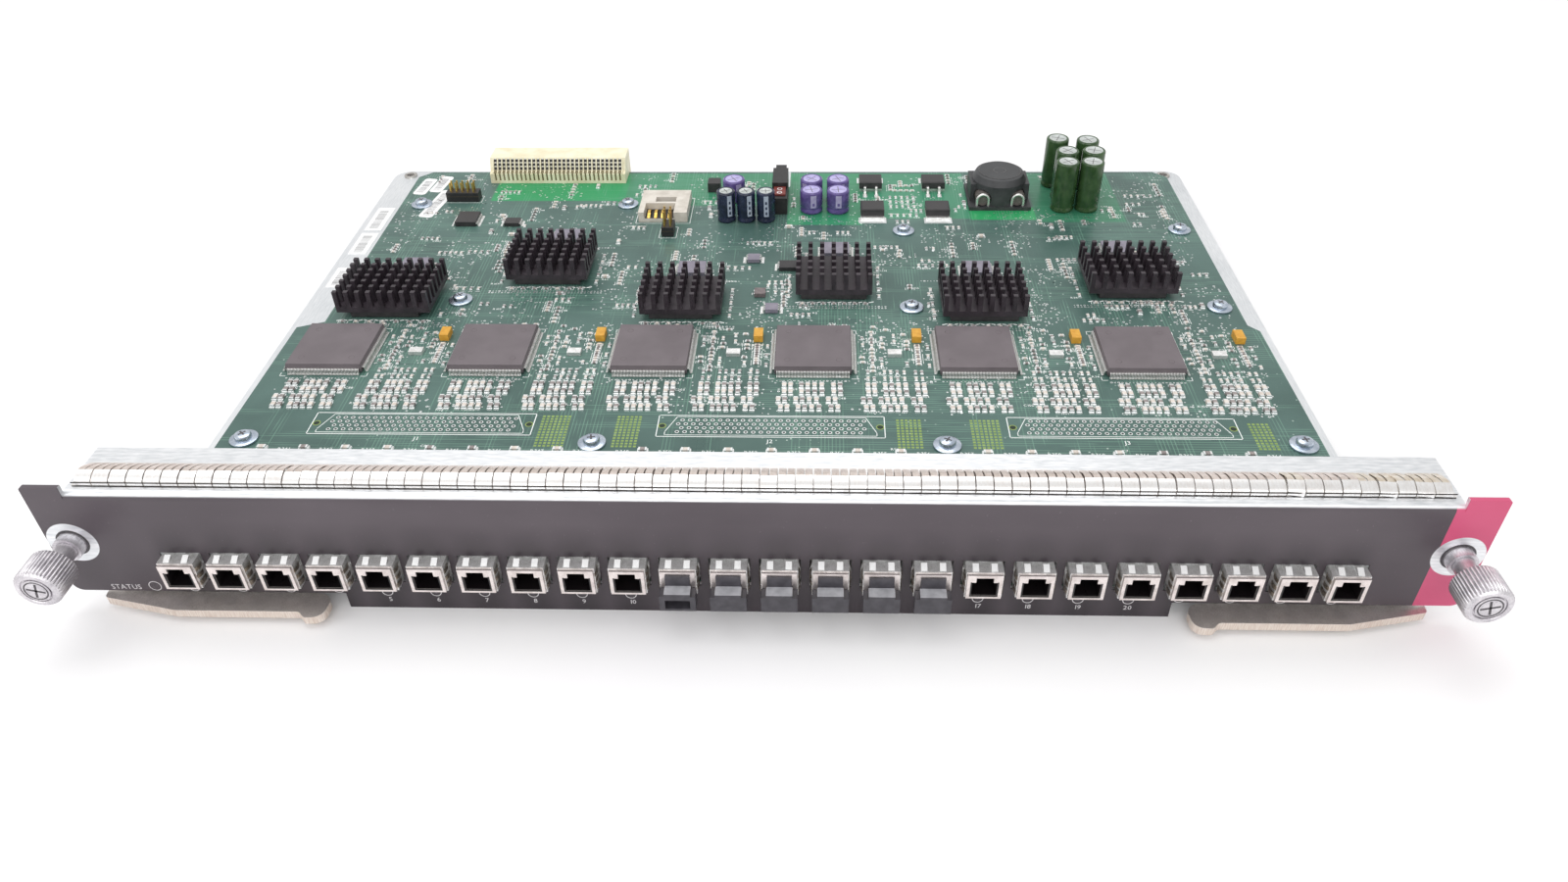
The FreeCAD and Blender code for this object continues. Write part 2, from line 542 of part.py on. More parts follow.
def power_parts():
    put("bulk_capacitors", [capacitor(x, y, GREEN_R, GREEN_H) for x, y in GREEN_CAPS])
    put("input_capacitors", [capacitor(x, y, PURPLE_R, PURPLE_H) for x, y in PURPLE_CAPS])
    put("filter_capacitors", [capacitor(x, y, NAVY_R, NAVY_H) for x, y in NAVY_CAPS])

    x, y, w, h = COIL_X, COIL_Y, COIL_W, COIL_H
    r = COIL_D / 2
    header = slab(x, w, y - r, y + r, 0, COIL_SOLE)
    skirt = rod(x, y, COIL_SOLE, r - 0.3, COIL_CROWN - COIL_SOLE)
    shoulders = slab(x, w - 1.4, y - 5.5, y + 8, COIL_SOLE, COIL_SHOULDER)
    cap = turned([(0, COIL_SHOULDER), (r - 0.3, COIL_SHOULDER), (r - 0.3, COIL_CROWN), (r - 1.6, h - 0.6),
                  (r - 3.2, h), (0, h)], x, y)
    windows = [rod(x + s * LEAD_X, y - 20, LEAD_Z, LEAD_WINDOW_R, 22, Y) for s in (-1, 1)]
    put("inductor", cut_all(fused([header, skirt, shoulders, cap]), windows))
    put("inductor_winding_ends", [rod(x + s * LEAD_X, y - r + 2.2, LEAD_Z, LEAD_R, 7.0, Y) for s in (-1, 1)])
    put("power_transistors", [transistor(x, PCB_REAR - ahead, way) for x, ahead, way in TRANSISTORS])


def transistor(x, y, way):
    """A surface-mounted case on its metal tab. way is +1 where the two legs point to the rear."""
    pieces = [slab(x, TAB_W, y - CASE_D / 2, y + CASE_D / 2, TAB_T, CASE_TOP)]
    tab = sorted((y - way * 6.2, y + way * 3.6))
    pieces.append(slab(x, TAB_W, tab[0], tab[1], 0, TAB_T))
    for s in (-1, 1):
        foot = sorted((y + way * 4.5, y + way * 9.3))
        pieces.append(slab(x + s * LEG_PITCH, LEG_W, foot[0], foot[1], 0, LEG_T))
        bend = sorted((y + way * 4.4, y + way * 6.0))
        pieces.append(slab(x + s * LEG_PITCH, LEG_W, bend[0], bend[1], 0, LEG_BEND_TOP))
    return fused(pieces)


def header(x, ahead, columns, rows, height, margin_x, margin_y):
    """A black base and its pins. x and ahead place the left front pin."""
    y = PCB_REAR - ahead
    half = PIN_W / 2
    x1, y1 = x + (columns - 1) * PIN_PITCH, y + (rows - 1) * PIN_PITCH
    made = [block(x - margin_x, x1 + margin_x, y - margin_y, y1 + margin_y, 0, HEADER_BASE)]
    for i in range(columns):
        for k in range(rows):
            px, py = x + i * PIN_PITCH, y + k * PIN_PITCH
            made.append(block(px - half, px + half, py - half, py + half, HEADER_BASE, height))
    return fused(made)


def connectors():
    x, w, y = BP_X, BP_W, BP_Y
    # the rear part overhangs the board's edge and reaches down over it
    section = [(y, 0, 0), (y, 4.6, 0), (y + 2.2, 5.2, 0), (y + 4.4, BP_TOP, 0), (BP_REAR, BP_TOP, 0),
               (BP_REAR, -PCB_T, 0), (PCB_REAR + 0.3, -PCB_T, 0), (PCB_REAR + 0.3, 0, 0)]
    shell = across(section, x - w / 2, x + w / 2)
    slots = []
    first = x - BP_COLUMN_PITCH * (BP_COLUMNS - 1) / 2
    for i in range(BP_COLUMNS):
        slots.append(slab(first + i * BP_COLUMN_PITCH, BP_SLOT_W, y - 1, y + 1.0, 1.2, 6.0))
        # contact cavities in the mating face, the lowest row's middle at BP_ROW_Z
        for k in range(BP_ROWS):
            z = BP_ROW_Z + k * BP_COLUMN_PITCH
            slots.append(slab(first + i * BP_COLUMN_PITCH, BP_CAVITY, BP_REAR - BP_CAVITY_DEPTH, BP_REAR + 1,
                              z - BP_CAVITY / 2, z + BP_CAVITY / 2))
    put("backplane_connector", cut_all(shell, slots))

    low, tall, plug = 43.1, 32.5, 17.1    # where each of the three blocks starts, ahead of the rear edge
    x0, x1 = POWER_X - POWER_W / 2, POWER_X + POWER_W / 2
    put("power_connector", fused([block(x0, x1, PCB_REAR - low, PCB_REAR - tall, 0, 7.6),
                                  block(x0, x1, PCB_REAR - tall, PCB_REAR - plug, 0, 10.0),
                                  block(x0 + 1, x1 - 1, PCB_REAR - plug, PCB_REAR - 9.5, 2.0, 8.0)]))
    put("debug_header", header(-148.9, 29.88, 5, 2, 8.6, 2.3, 1.2))
    put("jumper_header", header(-48.6, 62.58, 2, 3, 11.0, 1.3, 1.3))

    x0, x1 = SOCKET_X - SOCKET_W / 2, SOCKET_X + SOCKET_W / 2
    front_y, rear_y = PCB_REAR - 50.5, PCB_REAR - 28.5
    outer = block(x0, x1, front_y, rear_y, 0, SOCKET_H)
    well = block(x0 + 2.5, x1 - 5.8, front_y - 4.0, front_y + 9.0, SOCKET_FLOOR, SOCKET_H + 1)
    window = block(x0 + 6.5, x1 - 5.8, front_y + 10.5, front_y + 15.0, SOCKET_FLOOR, SOCKET_H + 1)
    put("card_socket", cut_all(outer, [well, window]))


def small_parts():
    put("tantalum_capacitors", [slab(x, TANTALUM_W, TANTALUM_Y0, TANTALUM_Y1, 0, TANTALUM_H) for x in TANTALUM_X])
    put("oscillators", [slab(x, OSC_W, OSC_Y0, OSC_Y1, 0, OSC_H) for x in OSC_X])
    small = []
    for x, ahead, w, d, z0, z1 in SMALL_CHIPS:
        small.append(slab(x, w, PCB_REAR - ahead - d, PCB_REAR - ahead, z0, z1))
    put("interface_chips", small)


def build():
    faceplate()
    gasket()
    tray()
    board()
    fixings()
    transceivers()
    shields()
    dust_plugs()
    levers()
    captive_screws()
    chips()
    power_parts()
    connectors()
    small_parts()


build()
whole = FreeCAD.BoundBox()
for solids in parts.values():
    for solid in solids:
        whole.add(solid.BoundBox)
shift = V(-(whole.XMin + whole.XMax) / 2, -(whole.YMin + whole.YMax) / 2, -whole.ZMin)
os.makedirs("parts", exist_ok=True)
for name, solids in parts.items():
    shape = solids[0] if len(solids) == 1 else Part.makeCompound(solids)
    shape.translate(shift)
    shape.exportStep("parts/%s.step" % name)
print("nodes", len(parts), "shift", tuple(round(c, 4) for c in shift))
print("size", round(whole.XLength, 2), round(whole.YLength, 2), round(whole.ZLength, 2))
for name, solids in parts.items():
    bad = [s for s in solids if not s.isValid()]
    if bad:
        print("INVALID", name, len(bad))
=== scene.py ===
"""Looks of the switch line card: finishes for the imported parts, and the fine detail round them.

Shapes are worked out in card millimetres: x from the card's middle, y back from the faceplate's
front, z up from the board's component side. in_metres turns them into the frame's metres.
"""
import bpy
import functools
import math
import numpy as np
from mathutils import Matrix, Vector


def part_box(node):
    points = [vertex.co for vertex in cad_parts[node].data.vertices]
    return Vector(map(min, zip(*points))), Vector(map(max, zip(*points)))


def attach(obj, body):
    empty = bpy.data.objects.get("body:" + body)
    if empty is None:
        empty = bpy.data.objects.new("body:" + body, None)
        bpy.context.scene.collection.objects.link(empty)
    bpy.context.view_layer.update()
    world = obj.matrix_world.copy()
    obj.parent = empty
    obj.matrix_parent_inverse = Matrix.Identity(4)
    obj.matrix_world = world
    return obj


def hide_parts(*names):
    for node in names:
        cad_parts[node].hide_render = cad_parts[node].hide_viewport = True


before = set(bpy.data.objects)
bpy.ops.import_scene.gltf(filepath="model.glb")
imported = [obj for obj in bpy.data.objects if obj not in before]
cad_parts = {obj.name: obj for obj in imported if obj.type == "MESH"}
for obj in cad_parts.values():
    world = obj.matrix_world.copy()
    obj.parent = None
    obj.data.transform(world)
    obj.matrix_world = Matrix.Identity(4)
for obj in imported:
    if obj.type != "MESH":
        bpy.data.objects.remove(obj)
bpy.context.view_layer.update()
MM = 0.001
rng = np.random.default_rng(24)


def cad(node):
    """Lowest and highest corner of a CAD node in card millimetres."""
    low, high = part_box(node)
    return np.array(low) / MM - ORIGIN, np.array(high) / MM - ORIGIN


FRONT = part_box("faceplate")[0].y / MM
BOARD_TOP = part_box("circuit_board")[1].z / MM
ORIGIN = np.array([0.0, FRONT, BOARD_TOP])

PORTS, BANKS = 24, 6
PORT_PITCH = 13.97
bank_low, bank_high = cad("transceiver_bank_1")
FIRST_PORT = (bank_low[0] + bank_high[0]) / 2 - 1.5 * PORT_PITCH    # a bank holds four ports
MOUTH = (6.9, 5.1)               # width and height of a port's mouth
PANEL_HIGH = cad("faceplate")[1]
BOARD_HIGH = cad("circuit_board")[1]


def port_x(number):
    """The middle of a port, counted from 1 at the left."""
    return FIRST_PORT + (number - 1) * PORT_PITCH


# ---- surfaces ------------------------------------------------------------------------------------
def in_metres(points):
    """Card millimetres to the frame's metres: (p + origin) / 1000."""
    return (np.asarray(points, float) + ORIGIN) * MM


def joined(shapes):
    """One shape out of several. A shape is its points and a list of face arrays."""
    points, faces, start = [], [], 0
    for verts, groups in shapes:
        points.append(verts)
        faces += [np.asarray(g) + start for g in groups]
        start += len(verts)
    return np.concatenate(points), faces


def moved(shape, *by):
    """A shape shifted by one or more x, y, z steps."""
    return sum((np.asarray(step, float) for step in by), shape[0]), shape[1]


def rows_of(x, y=0.0, z=0.0):
    """Places as rows of x, y and z, where a single number serves every row."""
    return np.column_stack(np.broadcast_arrays(np.asarray(x, float), y, z))


def rectangle(a0, a1, b0, b1):
    """The four corners of a rectangle, counter-clockwise."""
    return np.array([(a0, b0), (a1, b0), (a1, b1), (a0, b1)], float)


def repeat(shape, places, turns=None, sizes=None):
    """A shape copied to each place, turned about Z and stretched: p' = R(turn) (p * size) + place."""
    verts, groups = shape
    places = np.atleast_2d(np.asarray(places, float))
    n = len(places)
    turns = np.zeros(n) if turns is None else np.broadcast_to(np.asarray(turns, float), (n,))
    sizes = np.ones((n, 3)) if sizes is None else np.broadcast_to(np.asarray(sizes, float), (n, 3))
    p = verts[None] * sizes[:, None]
    c, s = np.cos(turns)[:, None], np.sin(turns)[:, None]
    turned_points = np.stack([c * p[..., 0] - s * p[..., 1], s * p[..., 0] + c * p[..., 1], p[..., 2]], -1)
    step = np.arange(n)[:, None, None] * len(verts)
    return ((turned_points + places[:, None]).reshape(-1, 3),
            [(np.asarray(g)[None] + step).reshape(-1, np.asarray(g).shape[-1]) for g in groups])


def moulded_block(edge=0.12):
    """A unit block on z = 0 with a chamfered top: three rings of four corners, at z 0, 1 - edge and 1."""
    square = np.array([[-1, -1], [1, -1], [1, 1], [-1, 1]]) / 2
    rings = [np.column_stack([square * (1 - inset), np.full(4, z)])
             for inset, z in ((0, 0), (0, 1 - edge), (edge, 1))]
    side = np.array([[i + 4 * k, (i + 1) % 4 + 4 * k, (i + 1) % 4 + 4 * k + 4, i + 4 * k + 4]
                     for k in range(2) for i in range(4)])
    return np.concatenate(rings), [np.concatenate([side, [[3, 2, 1, 0], [8, 9, 10, 11]]])]


def prism(outline, low, high, plane="xy"):
    """An outline (a, b), counter-clockwise, drawn from low to high along the axis the plane leaves out."""
    outline = np.asarray(outline, float)
    n = len(outline)
    ends = np.concatenate([np.column_stack([outline, np.full(n, level)]) for level in (low, high)])
    order = {"xy": (0, 1, 2), "xz": (0, 2, 1), "yz": (2, 0, 1)}[plane]
    verts = ends[:, list(order)]
    i = np.arange(n)
    side = np.column_stack([i, (i + 1) % n, (i + 1) % n + n, i + n])
    caps = [i[::-1][None], (i + n)[None]]
    if plane == "xz":
        side, caps = side[:, ::-1], [c[:, ::-1] for c in caps]
    return verts, [side] + caps


def turned(profile, segments=32, axis="z", ribs=None):
    """Points (r, h) turned about the axis: x = r cos a, y = r sin a. ribs(r, angle, h) may shape r."""
    profile = np.asarray(profile, float)
    angle = np.arange(segments) * 2 * math.pi / segments
    r = np.repeat(profile[:, :1], segments, 1)
    if ribs is not None:
        r = ribs(r, angle[None, :], profile[:, 1:])
    x, y = r * np.cos(angle), r * np.sin(angle)
    h = np.repeat(profile[:, 1:], segments, 1)
    verts = np.stack([x, y, h], -1).reshape(-1, 3)
    if axis == "y":
        verts = verts[:, [1, 2, 0]]
    k, i = np.meshgrid(np.arange(len(profile) - 1), np.arange(segments), indexing="ij")
    j = (i + 1) % segments
    quads = np.stack([k * segments + i, k * segments + j, (k + 1) * segments + j, (k + 1) * segments + i], -1)
    return verts, [quads.reshape(-1, 4)]


def grid(rows, columns, flip=False):
    """Quad indices of a rows by columns grid of points."""
    k, i = np.meshgrid(np.arange(rows - 1), np.arange(columns - 1), indexing="ij")
    a = k * columns + i
    quads = np.stack([a, a + 1, a + columns + 1, a + columns], -1).reshape(-1, 4)
    return quads[:, ::-1] if flip else quads


def circle(x, z, r, n):
    """n points round a circle about (x, z)."""
    a = np.arange(n) * 2 * math.pi / n
    return np.column_stack([x + r * np.cos(a), z + r * np.sin(a)])


def tube(path, r, n=8):
    """A round wire: a circle of radius r square to the path at each of its points."""
    path = np.asarray(path, float)
    along = np.gradient(path, axis=0)
    along /= np.linalg.norm(along, axis=1)[:, None]
    side = np.cross(along, [0.3, 0.2, 0.93])
    side /= np.linalg.norm(side, axis=1)[:, None]
    up = np.cross(side, along)
    a = np.arange(n) * 2 * math.pi / n
    across, lift = np.cos(a)[None, :, None] * side[:, None], np.sin(a)[None, :, None] * up[:, None]
    verts = path[:, None] + r * (across + lift)
    k, i = np.meshgrid(np.arange(len(path) - 1), np.arange(n), indexing="ij")
    j = (i + 1) % n
    quads = np.stack([k * n + i, (k + 1) * n + i, (k + 1) * n + j, k * n + j], -1).reshape(-1, 4)
    last = (len(path) - 1) * n
    return verts.reshape(-1, 3), [quads, np.arange(n)[None], (last + np.arange(n))[::-1][None]]


def piece(name, shape, material, body="card", replaces=(), smooth=None, bevel=0.0, weld=False, thick=0.0):
    """Makes the mesh, gives it its finish and lets it ride on a CAD body."""
    verts, groups = shape
    mesh = bpy.data.meshes.new(name)
    mesh.from_pydata(in_metres(verts).tolist(), [], [f for g in groups for f in np.asarray(g).tolist()])
    mesh.materials.append(material)
    made = bpy.data.objects.new(name, mesh)
    bpy.context.scene.collection.objects.link(made)
    if weld:
        import bmesh
        bm = bmesh.new()
        bm.from_mesh(mesh)
        bmesh.ops.remove_doubles(bm, verts=bm.verts, dist=1e-6)
        bmesh.ops.dissolve_degenerate(bm, edges=bm.edges, dist=1e-7)
        bmesh.ops.recalc_face_normals(bm, faces=bm.faces)
        bm.to_mesh(mesh)
        bm.free()
    if smooth is not None:
        mesh.shade_smooth()
        mesh.set_sharp_from_angle(angle=math.radians(smooth))
    if thick:
        wall = made.modifiers.new("wall", "SOLIDIFY")
        wall.thickness = thick * MM
        wall.offset = 0
    if bevel:
        edge = made.modifiers.new("edge", "BEVEL")
        edge.width = bevel * MM
        edge.segments = 2
        edge.limit_method = "ANGLE"
    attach(made, body)
    if replaces:
        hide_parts(*replaces)
    return made


# ---- lettering: plain numbers and part marks only ------------------------------------------------
glyphs = {}


def glyph(char):
    """Points, triangles and width of one character of height 1, standing in the xy plane."""
    if char not in glyphs:
        curve = bpy.data.curves.new("glyph", "FONT")
        curve.body = char
        curve.resolution_u = 2
        letter = bpy.data.objects.new("glyph", curve)
        bpy.context.scene.collection.objects.link(letter)
        bpy.context.view_layer.update()
        mesh = bpy.data.meshes.new_from_object(letter.evaluated_get(bpy.context.evaluated_depsgraph_get()))
        mesh.calc_loop_triangles()
        verts = np.zeros(len(mesh.vertices) * 3)
        mesh.vertices.foreach_get("co", verts)
        tris = np.zeros(len(mesh.loop_triangles) * 3, int)
        mesh.loop_triangles.foreach_get("vertices", tris)
        bpy.data.objects.remove(letter)
        bpy.data.curves.remove(curve)
        verts = verts.reshape(-1, 3)
        width = (verts[:, 0].max() if len(verts) else 0.3) + 0.08
        glyphs[char] = (verts / 0.7, tris.reshape(-1, 3), width / 0.7)
    return glyphs[char]


def words(text, height):
    """A line of text centred on the origin, in the xy plane."""
    shapes, x = [], 0.0
    for char in text:
        verts, tris, width = glyph(char)
        if len(verts):
            shapes.append((verts * height + [x, 0, 0], [tris]))
        x += width * height
    verts, groups = joined(shapes)
    return verts - [x / 2, height / 2, 0], groups


def upright(shape):
    """Turns a shape in the xy plane to face the front: x stays, y becomes z."""
    verts, groups = shape
    return np.column_stack([verts[:, 0], -verts[:, 2], verts[:, 1]]), groups


# ---- finishes ------------------------------------------------------------------------------------
def colour(code):
    """An sRGB hex value as linear RGBA."""
    c = np.array([int(code[i:i + 2], 16) for i in (0, 2, 4)]) / 255
    linear = np.where(c <= 0.04045, c / 12.92, ((c + 0.055) / 1.055) ** 2.4)
    return (*linear, 1.0)


def feed(node, inputs):
    """Fills a node's inputs, by name or number: a socket is linked, anything else is set as its value."""
    for key, value in inputs.items():
        if isinstance(value, bpy.types.NodeSocket):
            node.id_data.links.new(value, node.inputs[key])
        else:
            node.inputs[key].default_value = value


def add_node(tree, kind, inputs=(), out=0, **settings):
    """Adds a node and gives back one of its outputs. Inputs are a list in order, or a dict."""
    node = tree.nodes.new("ShaderNode" + kind)
    for key, value in settings.items():
        setattr(node, key, value)
    feed(node, inputs if isinstance(inputs, dict) else dict(enumerate(inputs)))
    return node.outputs[out]


def finish_named(name, slot):
    """An empty material, what adds nodes to it, its shader, and the place on the part in metres."""
    material = bpy.data.materials.new(name)
    material.use_nodes = True
    material["slot"] = slot
    add = functools.partial(add_node, material.node_tree)
    return material, add, material.node_tree.nodes["Principled BSDF"], add("TexCoord", out="Object")


def speckle(add, place, size_mm, detail=3.0, stretch=(1, 1, 1)):
    """Noise whose grains are about size_mm across, longer along an axis where stretch is above 1."""
    scale = [1 / (MM * size_mm * s) for s in stretch]
    mapped = add("Mapping", {"Vector": place, "Scale": scale})
    return add("TexNoise", {"Vector": mapped, "Scale": 1.0, "Detail": detail}, "Fac")


def mottle(add, fine, wide, share, low, high):
    """Fine grain by its share and wide blotches by the rest, stretched from low..high to 0..1."""
    fine_part = add("Math", [fine, share], operation="MULTIPLY")
    wide_part = add("Math", [wide, 1 - share], operation="MULTIPLY")
    return add("MapRange", [add("Math", [fine_part, wide_part], operation="ADD"), low, high])


def wear(add, wide, fine, share, low, high, first, last):
    """Roughness: wide patches plus a share of the fine grain, taken from low..high to first..last."""
    fine_part = add("Math", [fine, share], operation="MULTIPLY")
    return add("MapRange", [add("Math", [wide, fine_part], operation="ADD"), low, high, first, last])


def patches(add, value, low, high, first, second):
    """One colour where the value is low, another where it is high, and a passage between."""
    share = add("MapRange", [value, low, high])
    return add("Mix", {0: share, 6: colour(first), 7: colour(second)}, 2, data_type="RGBA")


def product(add, *values):
    """All the values multiplied together."""
    total = values[0]
    for value in values[1:]:
        total = add("Math", [total, value], operation="MULTIPLY")
    return total


def inside(add, along, low_mm, high_mm, origin_mm, soft_mm=0.05):
    """1 between two places along an axis, in card millimetres, with a soft edge."""
    low, high = (low_mm + origin_mm) * MM, (high_mm + origin_mm) * MM
    rise = add("MapRange", [along, low - soft_mm * MM, low + soft_mm * MM])
    fall = add("MapRange", [along, high - soft_mm * MM, high + soft_mm * MM, 1.0, 0.0])
    return add("Math", [rise, fall], operation="MULTIPLY")


def depth(y):
    """A place behind the panel's front, in the frame's metres."""
    return (FRONT + y) * MM


def height(z):
    """A place above the board, in the frame's metres."""
    return (BOARD_TOP + z) * MM


def from_port_middle(add, x):
    """Distance along the row to the nearest port's middle: |(x - x1 + pitch / 2) mod pitch - pitch / 2|."""
    pitch = PORT_PITCH * MM
    start = 40 * pitch - port_x(1) * MM + pitch / 2          # 40 pitches keep the remainder positive
    shifted = add("Math", [x, start], operation="ADD")
    cell = add("Math", [shifted, pitch], operation="MODULO")
    return add("Math", [add("Math", [cell, pitch / 2], operation="SUBTRACT")], operation="ABSOLUTE")


def relief(add, shader, grain, depth_mm, strength=0.6):
    """Grain that stands depth_mm high on the surface."""
    feed(shader, {"Normal": add("Bump", {"Height": grain, "Distance": depth_mm * MM, "Strength": strength})})


def metal(name, slot, light, dark, rough=(0.25, 0.45), grain_mm=0.4, stretch=(1, 1, 1), depth_mm=0.01,
          blotch_mm=9.0):
    """Bare or plated metal: a fine worked grain, and wide blotches where hands and age have dulled it."""
    material, add, shader, place = finish_named(name, slot)
    grain = speckle(add, place, grain_mm, 4.0, stretch)
    tone = mottle(add, grain, speckle(add, place, blotch_mm, 3.0), 0.45, 0.32, 0.68)
    feed(shader, {"Base Color": patches(add, tone, 0.0, 1.0, dark, light),
                  "Roughness": add("MapRange", [tone, 0.0, 1.0, rough[1], rough[0]]), "Metallic": 1.0})
    relief(add, shader, grain, depth_mm)
    return material


def plastic(name, slot, main, worn, rough=0.45, grain_mm=0.25, depth_mm=0.015, blotch_mm=6.0):
    """Moulded plastic or rubber: a spark-eroded mould's grain, dust and handling marks in wide patches."""
    material, add, shader, place = finish_named(name, slot)
    grain = speckle(add, place, grain_mm)
    blotch = speckle(add, place, blotch_mm, 5.0)
    feed(shader, {"Base Color": patches(add, blotch, 0.35, 0.7, main, worn),
                  "Roughness": wear(add, blotch, grain, 0.3, 0.4, 0.9, rough - 0.08, rough + 0.12),
                  "IOR": 1.5})
    relief(add, shader, grain, depth_mm)
    return material


# zinc plate over cold-rolled steel: bright, cool, faint rolling lines
ZINC = metal("zinc plated sheet steel", "tray_steel", "f6f8fa", "d6d9dc", rough=(0.38, 0.52), grain_mm=0.5,
             stretch=(1, 9, 1), depth_mm=0.004, blotch_mm=22.0)
# clear zinc on small screws and washers: bluish and bright
SCREW_ZINC = metal("blue zinc plated steel", "zinc_steel", "dfe8f4", "97a4b4", rough=(0.18, 0.34),
                   grain_mm=0.25, depth_mm=0.004, blotch_mm=2.2)
# tin plate on rolled spring strip: soft, bright, a warm cast
SPRING = metal("tin plated beryllium copper", "spring_metal", "ffffff", "dedad7", rough=(0.24, 0.42),
               grain_mm=0.6, stretch=(1, 5, 1), depth_mm=0.006, blotch_mm=3.5)
# the same strip where hands have rubbed it: warmer and a little duller
SPRING_BACK = metal("tin plated beryllium copper, rubbed", "spring_metal", "fdf1ea", "cfc1b8",
                    rough=(0.28, 0.45), grain_mm=0.5, stretch=(1, 3, 1), depth_mm=0.006, blotch_mm=2.2)
# thin nickel over spring steel: even, pale and satin
SHIELD = metal("nickel plated spring steel", "spring_metal", "ffffff", "cdccca", rough=(0.5, 0.68),
               grain_mm=0.3, depth_mm=0.006, blotch_mm=1.6)
# polished nickel: nearly white all over
BRIGHT_NICKEL = metal("bright nickel", "spring_metal", "ffffff", "f0f0f0", rough=(0.5, 0.62), grain_mm=0.3,
                      depth_mm=0.004, blotch_mm=2.0)
# nickel over turned brass: bright, with lines round the turning
KNOB_METAL = metal("nickel plated turned brass", "screw_steel", "ece9ec", "b5b1b7", rough=(0.34, 0.5),
                   grain_mm=0.3, stretch=(1, 4, 1), depth_mm=0.004, blotch_mm=4.0)
# bare spring steel: dark grey with small bright spots
SPRING_STEEL = metal("plain spring steel", "spring_steel", "8e8c8c", "4c4a4a", rough=(0.3, 0.5),
                     grain_mm=0.3, depth_mm=0.005, blotch_mm=1.5)
# dipped tin on copper leads: white and soft
TIN = metal("tinned copper leads", "tinned_wire", "ffffff", "dcdad5", rough=(0.4, 0.55), grain_mm=0.2,
            depth_mm=0.003, blotch_mm=1.2)
# gold flash on bronze contacts: yellow and smooth
GOLD = metal("gold flashed bronze", "header_metal", "f2cf7a", "b08a36", rough=(0.2, 0.34), grain_mm=0.2,
             depth_mm=0.003, blotch_mm=1.5)
# bare drawn aluminium: pale, faintly green
CAN_TOP = metal("bare aluminium can top", "green_sleeve", "eef2f0", "c4ccca", rough=(0.3, 0.45),
                grain_mm=0.4, depth_mm=0.006, blotch_mm=2.5)
# nickel over brass, dulled by handling: grey in patches
EYELET = metal("dull nickel plated brass", "eyelet_metal", "e9e6e2", "8d8882", rough=(0.3, 0.5),
               grain_mm=0.3, depth_mm=0.006, blotch_mm=1.5)
# dark anodised aluminium, sawn across: satin and nearly black
SINK = plastic("black anodised aluminium", "sink_anodised", "2a2329", "3d353c", rough=0.4, grain_mm=0.35,
               depth_mm=0.012, blotch_mm=5.0)
# moulded epoxy with a fine matt grain: warm mid grey
EPOXY = plastic("moulded chip epoxy", "chip_epoxy", "655d61", "70686c", rough=0.5, grain_mm=0.12,
                depth_mm=0.012, blotch_mm=9.0)
# unmarked moulded epoxy: near black and matt
CHIP_BLACK = plastic("black chip epoxy", "chip_epoxy", "2b292b", "3a3839", rough=0.45, grain_mm=0.12,
                     depth_mm=0.01, blotch_mm=3.0)
# laser marked epoxy: the whole top reads as a cool grey
CHIP_GREY = plastic("grey chip epoxy, laser marked", "chip_epoxy", "7d7886", "8f8a97", rough=0.4,
                    grain_mm=0.12, depth_mm=0.01, blotch_mm=3.0)
# glass filled polyester: cream, with yellow patches of age
CREAM = plastic("glass filled cream polyester", "cream_plastic", "f4edd2", "e2d9b8", rough=0.42,
                grain_mm=0.2, depth_mm=0.01, blotch_mm=6.0)
# moulded nylon: warm off-white
IVORY = plastic("ivory moulded nylon", "ivory_plastic", "dcd6cc", "c2bbb0", rough=0.45, grain_mm=0.2,
                depth_mm=0.012, blotch_mm=4.0)
# moulded nylon: black with a soft sheen
BLACK = plastic("black header nylon", "black_plastic", "1f1e1f", "2e2c2d", rough=0.45, grain_mm=0.2,
                depth_mm=0.01, blotch_mm=3.0)
# moulded phenolic cover: charcoal with a coarse grain
COIL = plastic("dark moulded phenolic", "coil_plastic", "333436", "454648", rough=0.48, grain_mm=0.3,
               depth_mm=0.02, blotch_mm=4.0)
# varnish over copper wire: brown grey and glossy
WINDING = plastic("varnished winding", "tinned_wire", "5b5654", "6f6864", rough=0.35, grain_mm=0.4,
                  depth_mm=0.03, blotch_mm=1.0)
# heat shrunk sleeve: deep green and glossy
GREEN_SLEEVE = plastic("green heat shrunk sleeve", "green_sleeve", "2c4728", "415c37", rough=0.13,
                       grain_mm=0.5, depth_mm=0.02, blotch_mm=3.0)
# coated aluminium can: violet and glossy
LILAC_SLEEVE = plastic("violet coated can", "lilac_sleeve", "54457f", "6d5e9c", rough=0.24, grain_mm=0.5,
                       depth_mm=0.02, blotch_mm=3.0)
# heat shrunk sleeve: dark blue and glossy
NAVY_SLEEVE = plastic("navy heat shrunk sleeve", "navy_sleeve", "1d2334", "2c3450", rough=0.22,
                      grain_mm=0.5, depth_mm=0.02, blotch_mm=3.0)
# moulded tantalum case: mustard yellow
TANTALUM = plastic("yellow moulded capacitor", "tantalum_case", "dba63c", "c98f2e", rough=0.45,
                   grain_mm=0.15, depth_mm=0.01, blotch_mm=1.5)
# screen printed ink: flat white
INK_WHITE = plastic("white legend ink", "board_laminate", "fbfdfc", "eef4f1", rough=0.55, grain_mm=0.1,
                    depth_mm=0.004, blotch_mm=2.0)
# coated paper: flat white
PAPER = plastic("white label paper", "board_laminate", "f4f4f4", "e9e9ea", rough=0.6, grain_mm=0.1,
                depth_mm=0.004, blotch_mm=8.0)
# thermal print on a label: soft black
LABEL_INK = plastic("black label print", "black_plastic", "3a3a3e", "4a4a4f", rough=0.6, grain_mm=0.1,
                    depth_mm=0.003, blotch_mm=2.0)
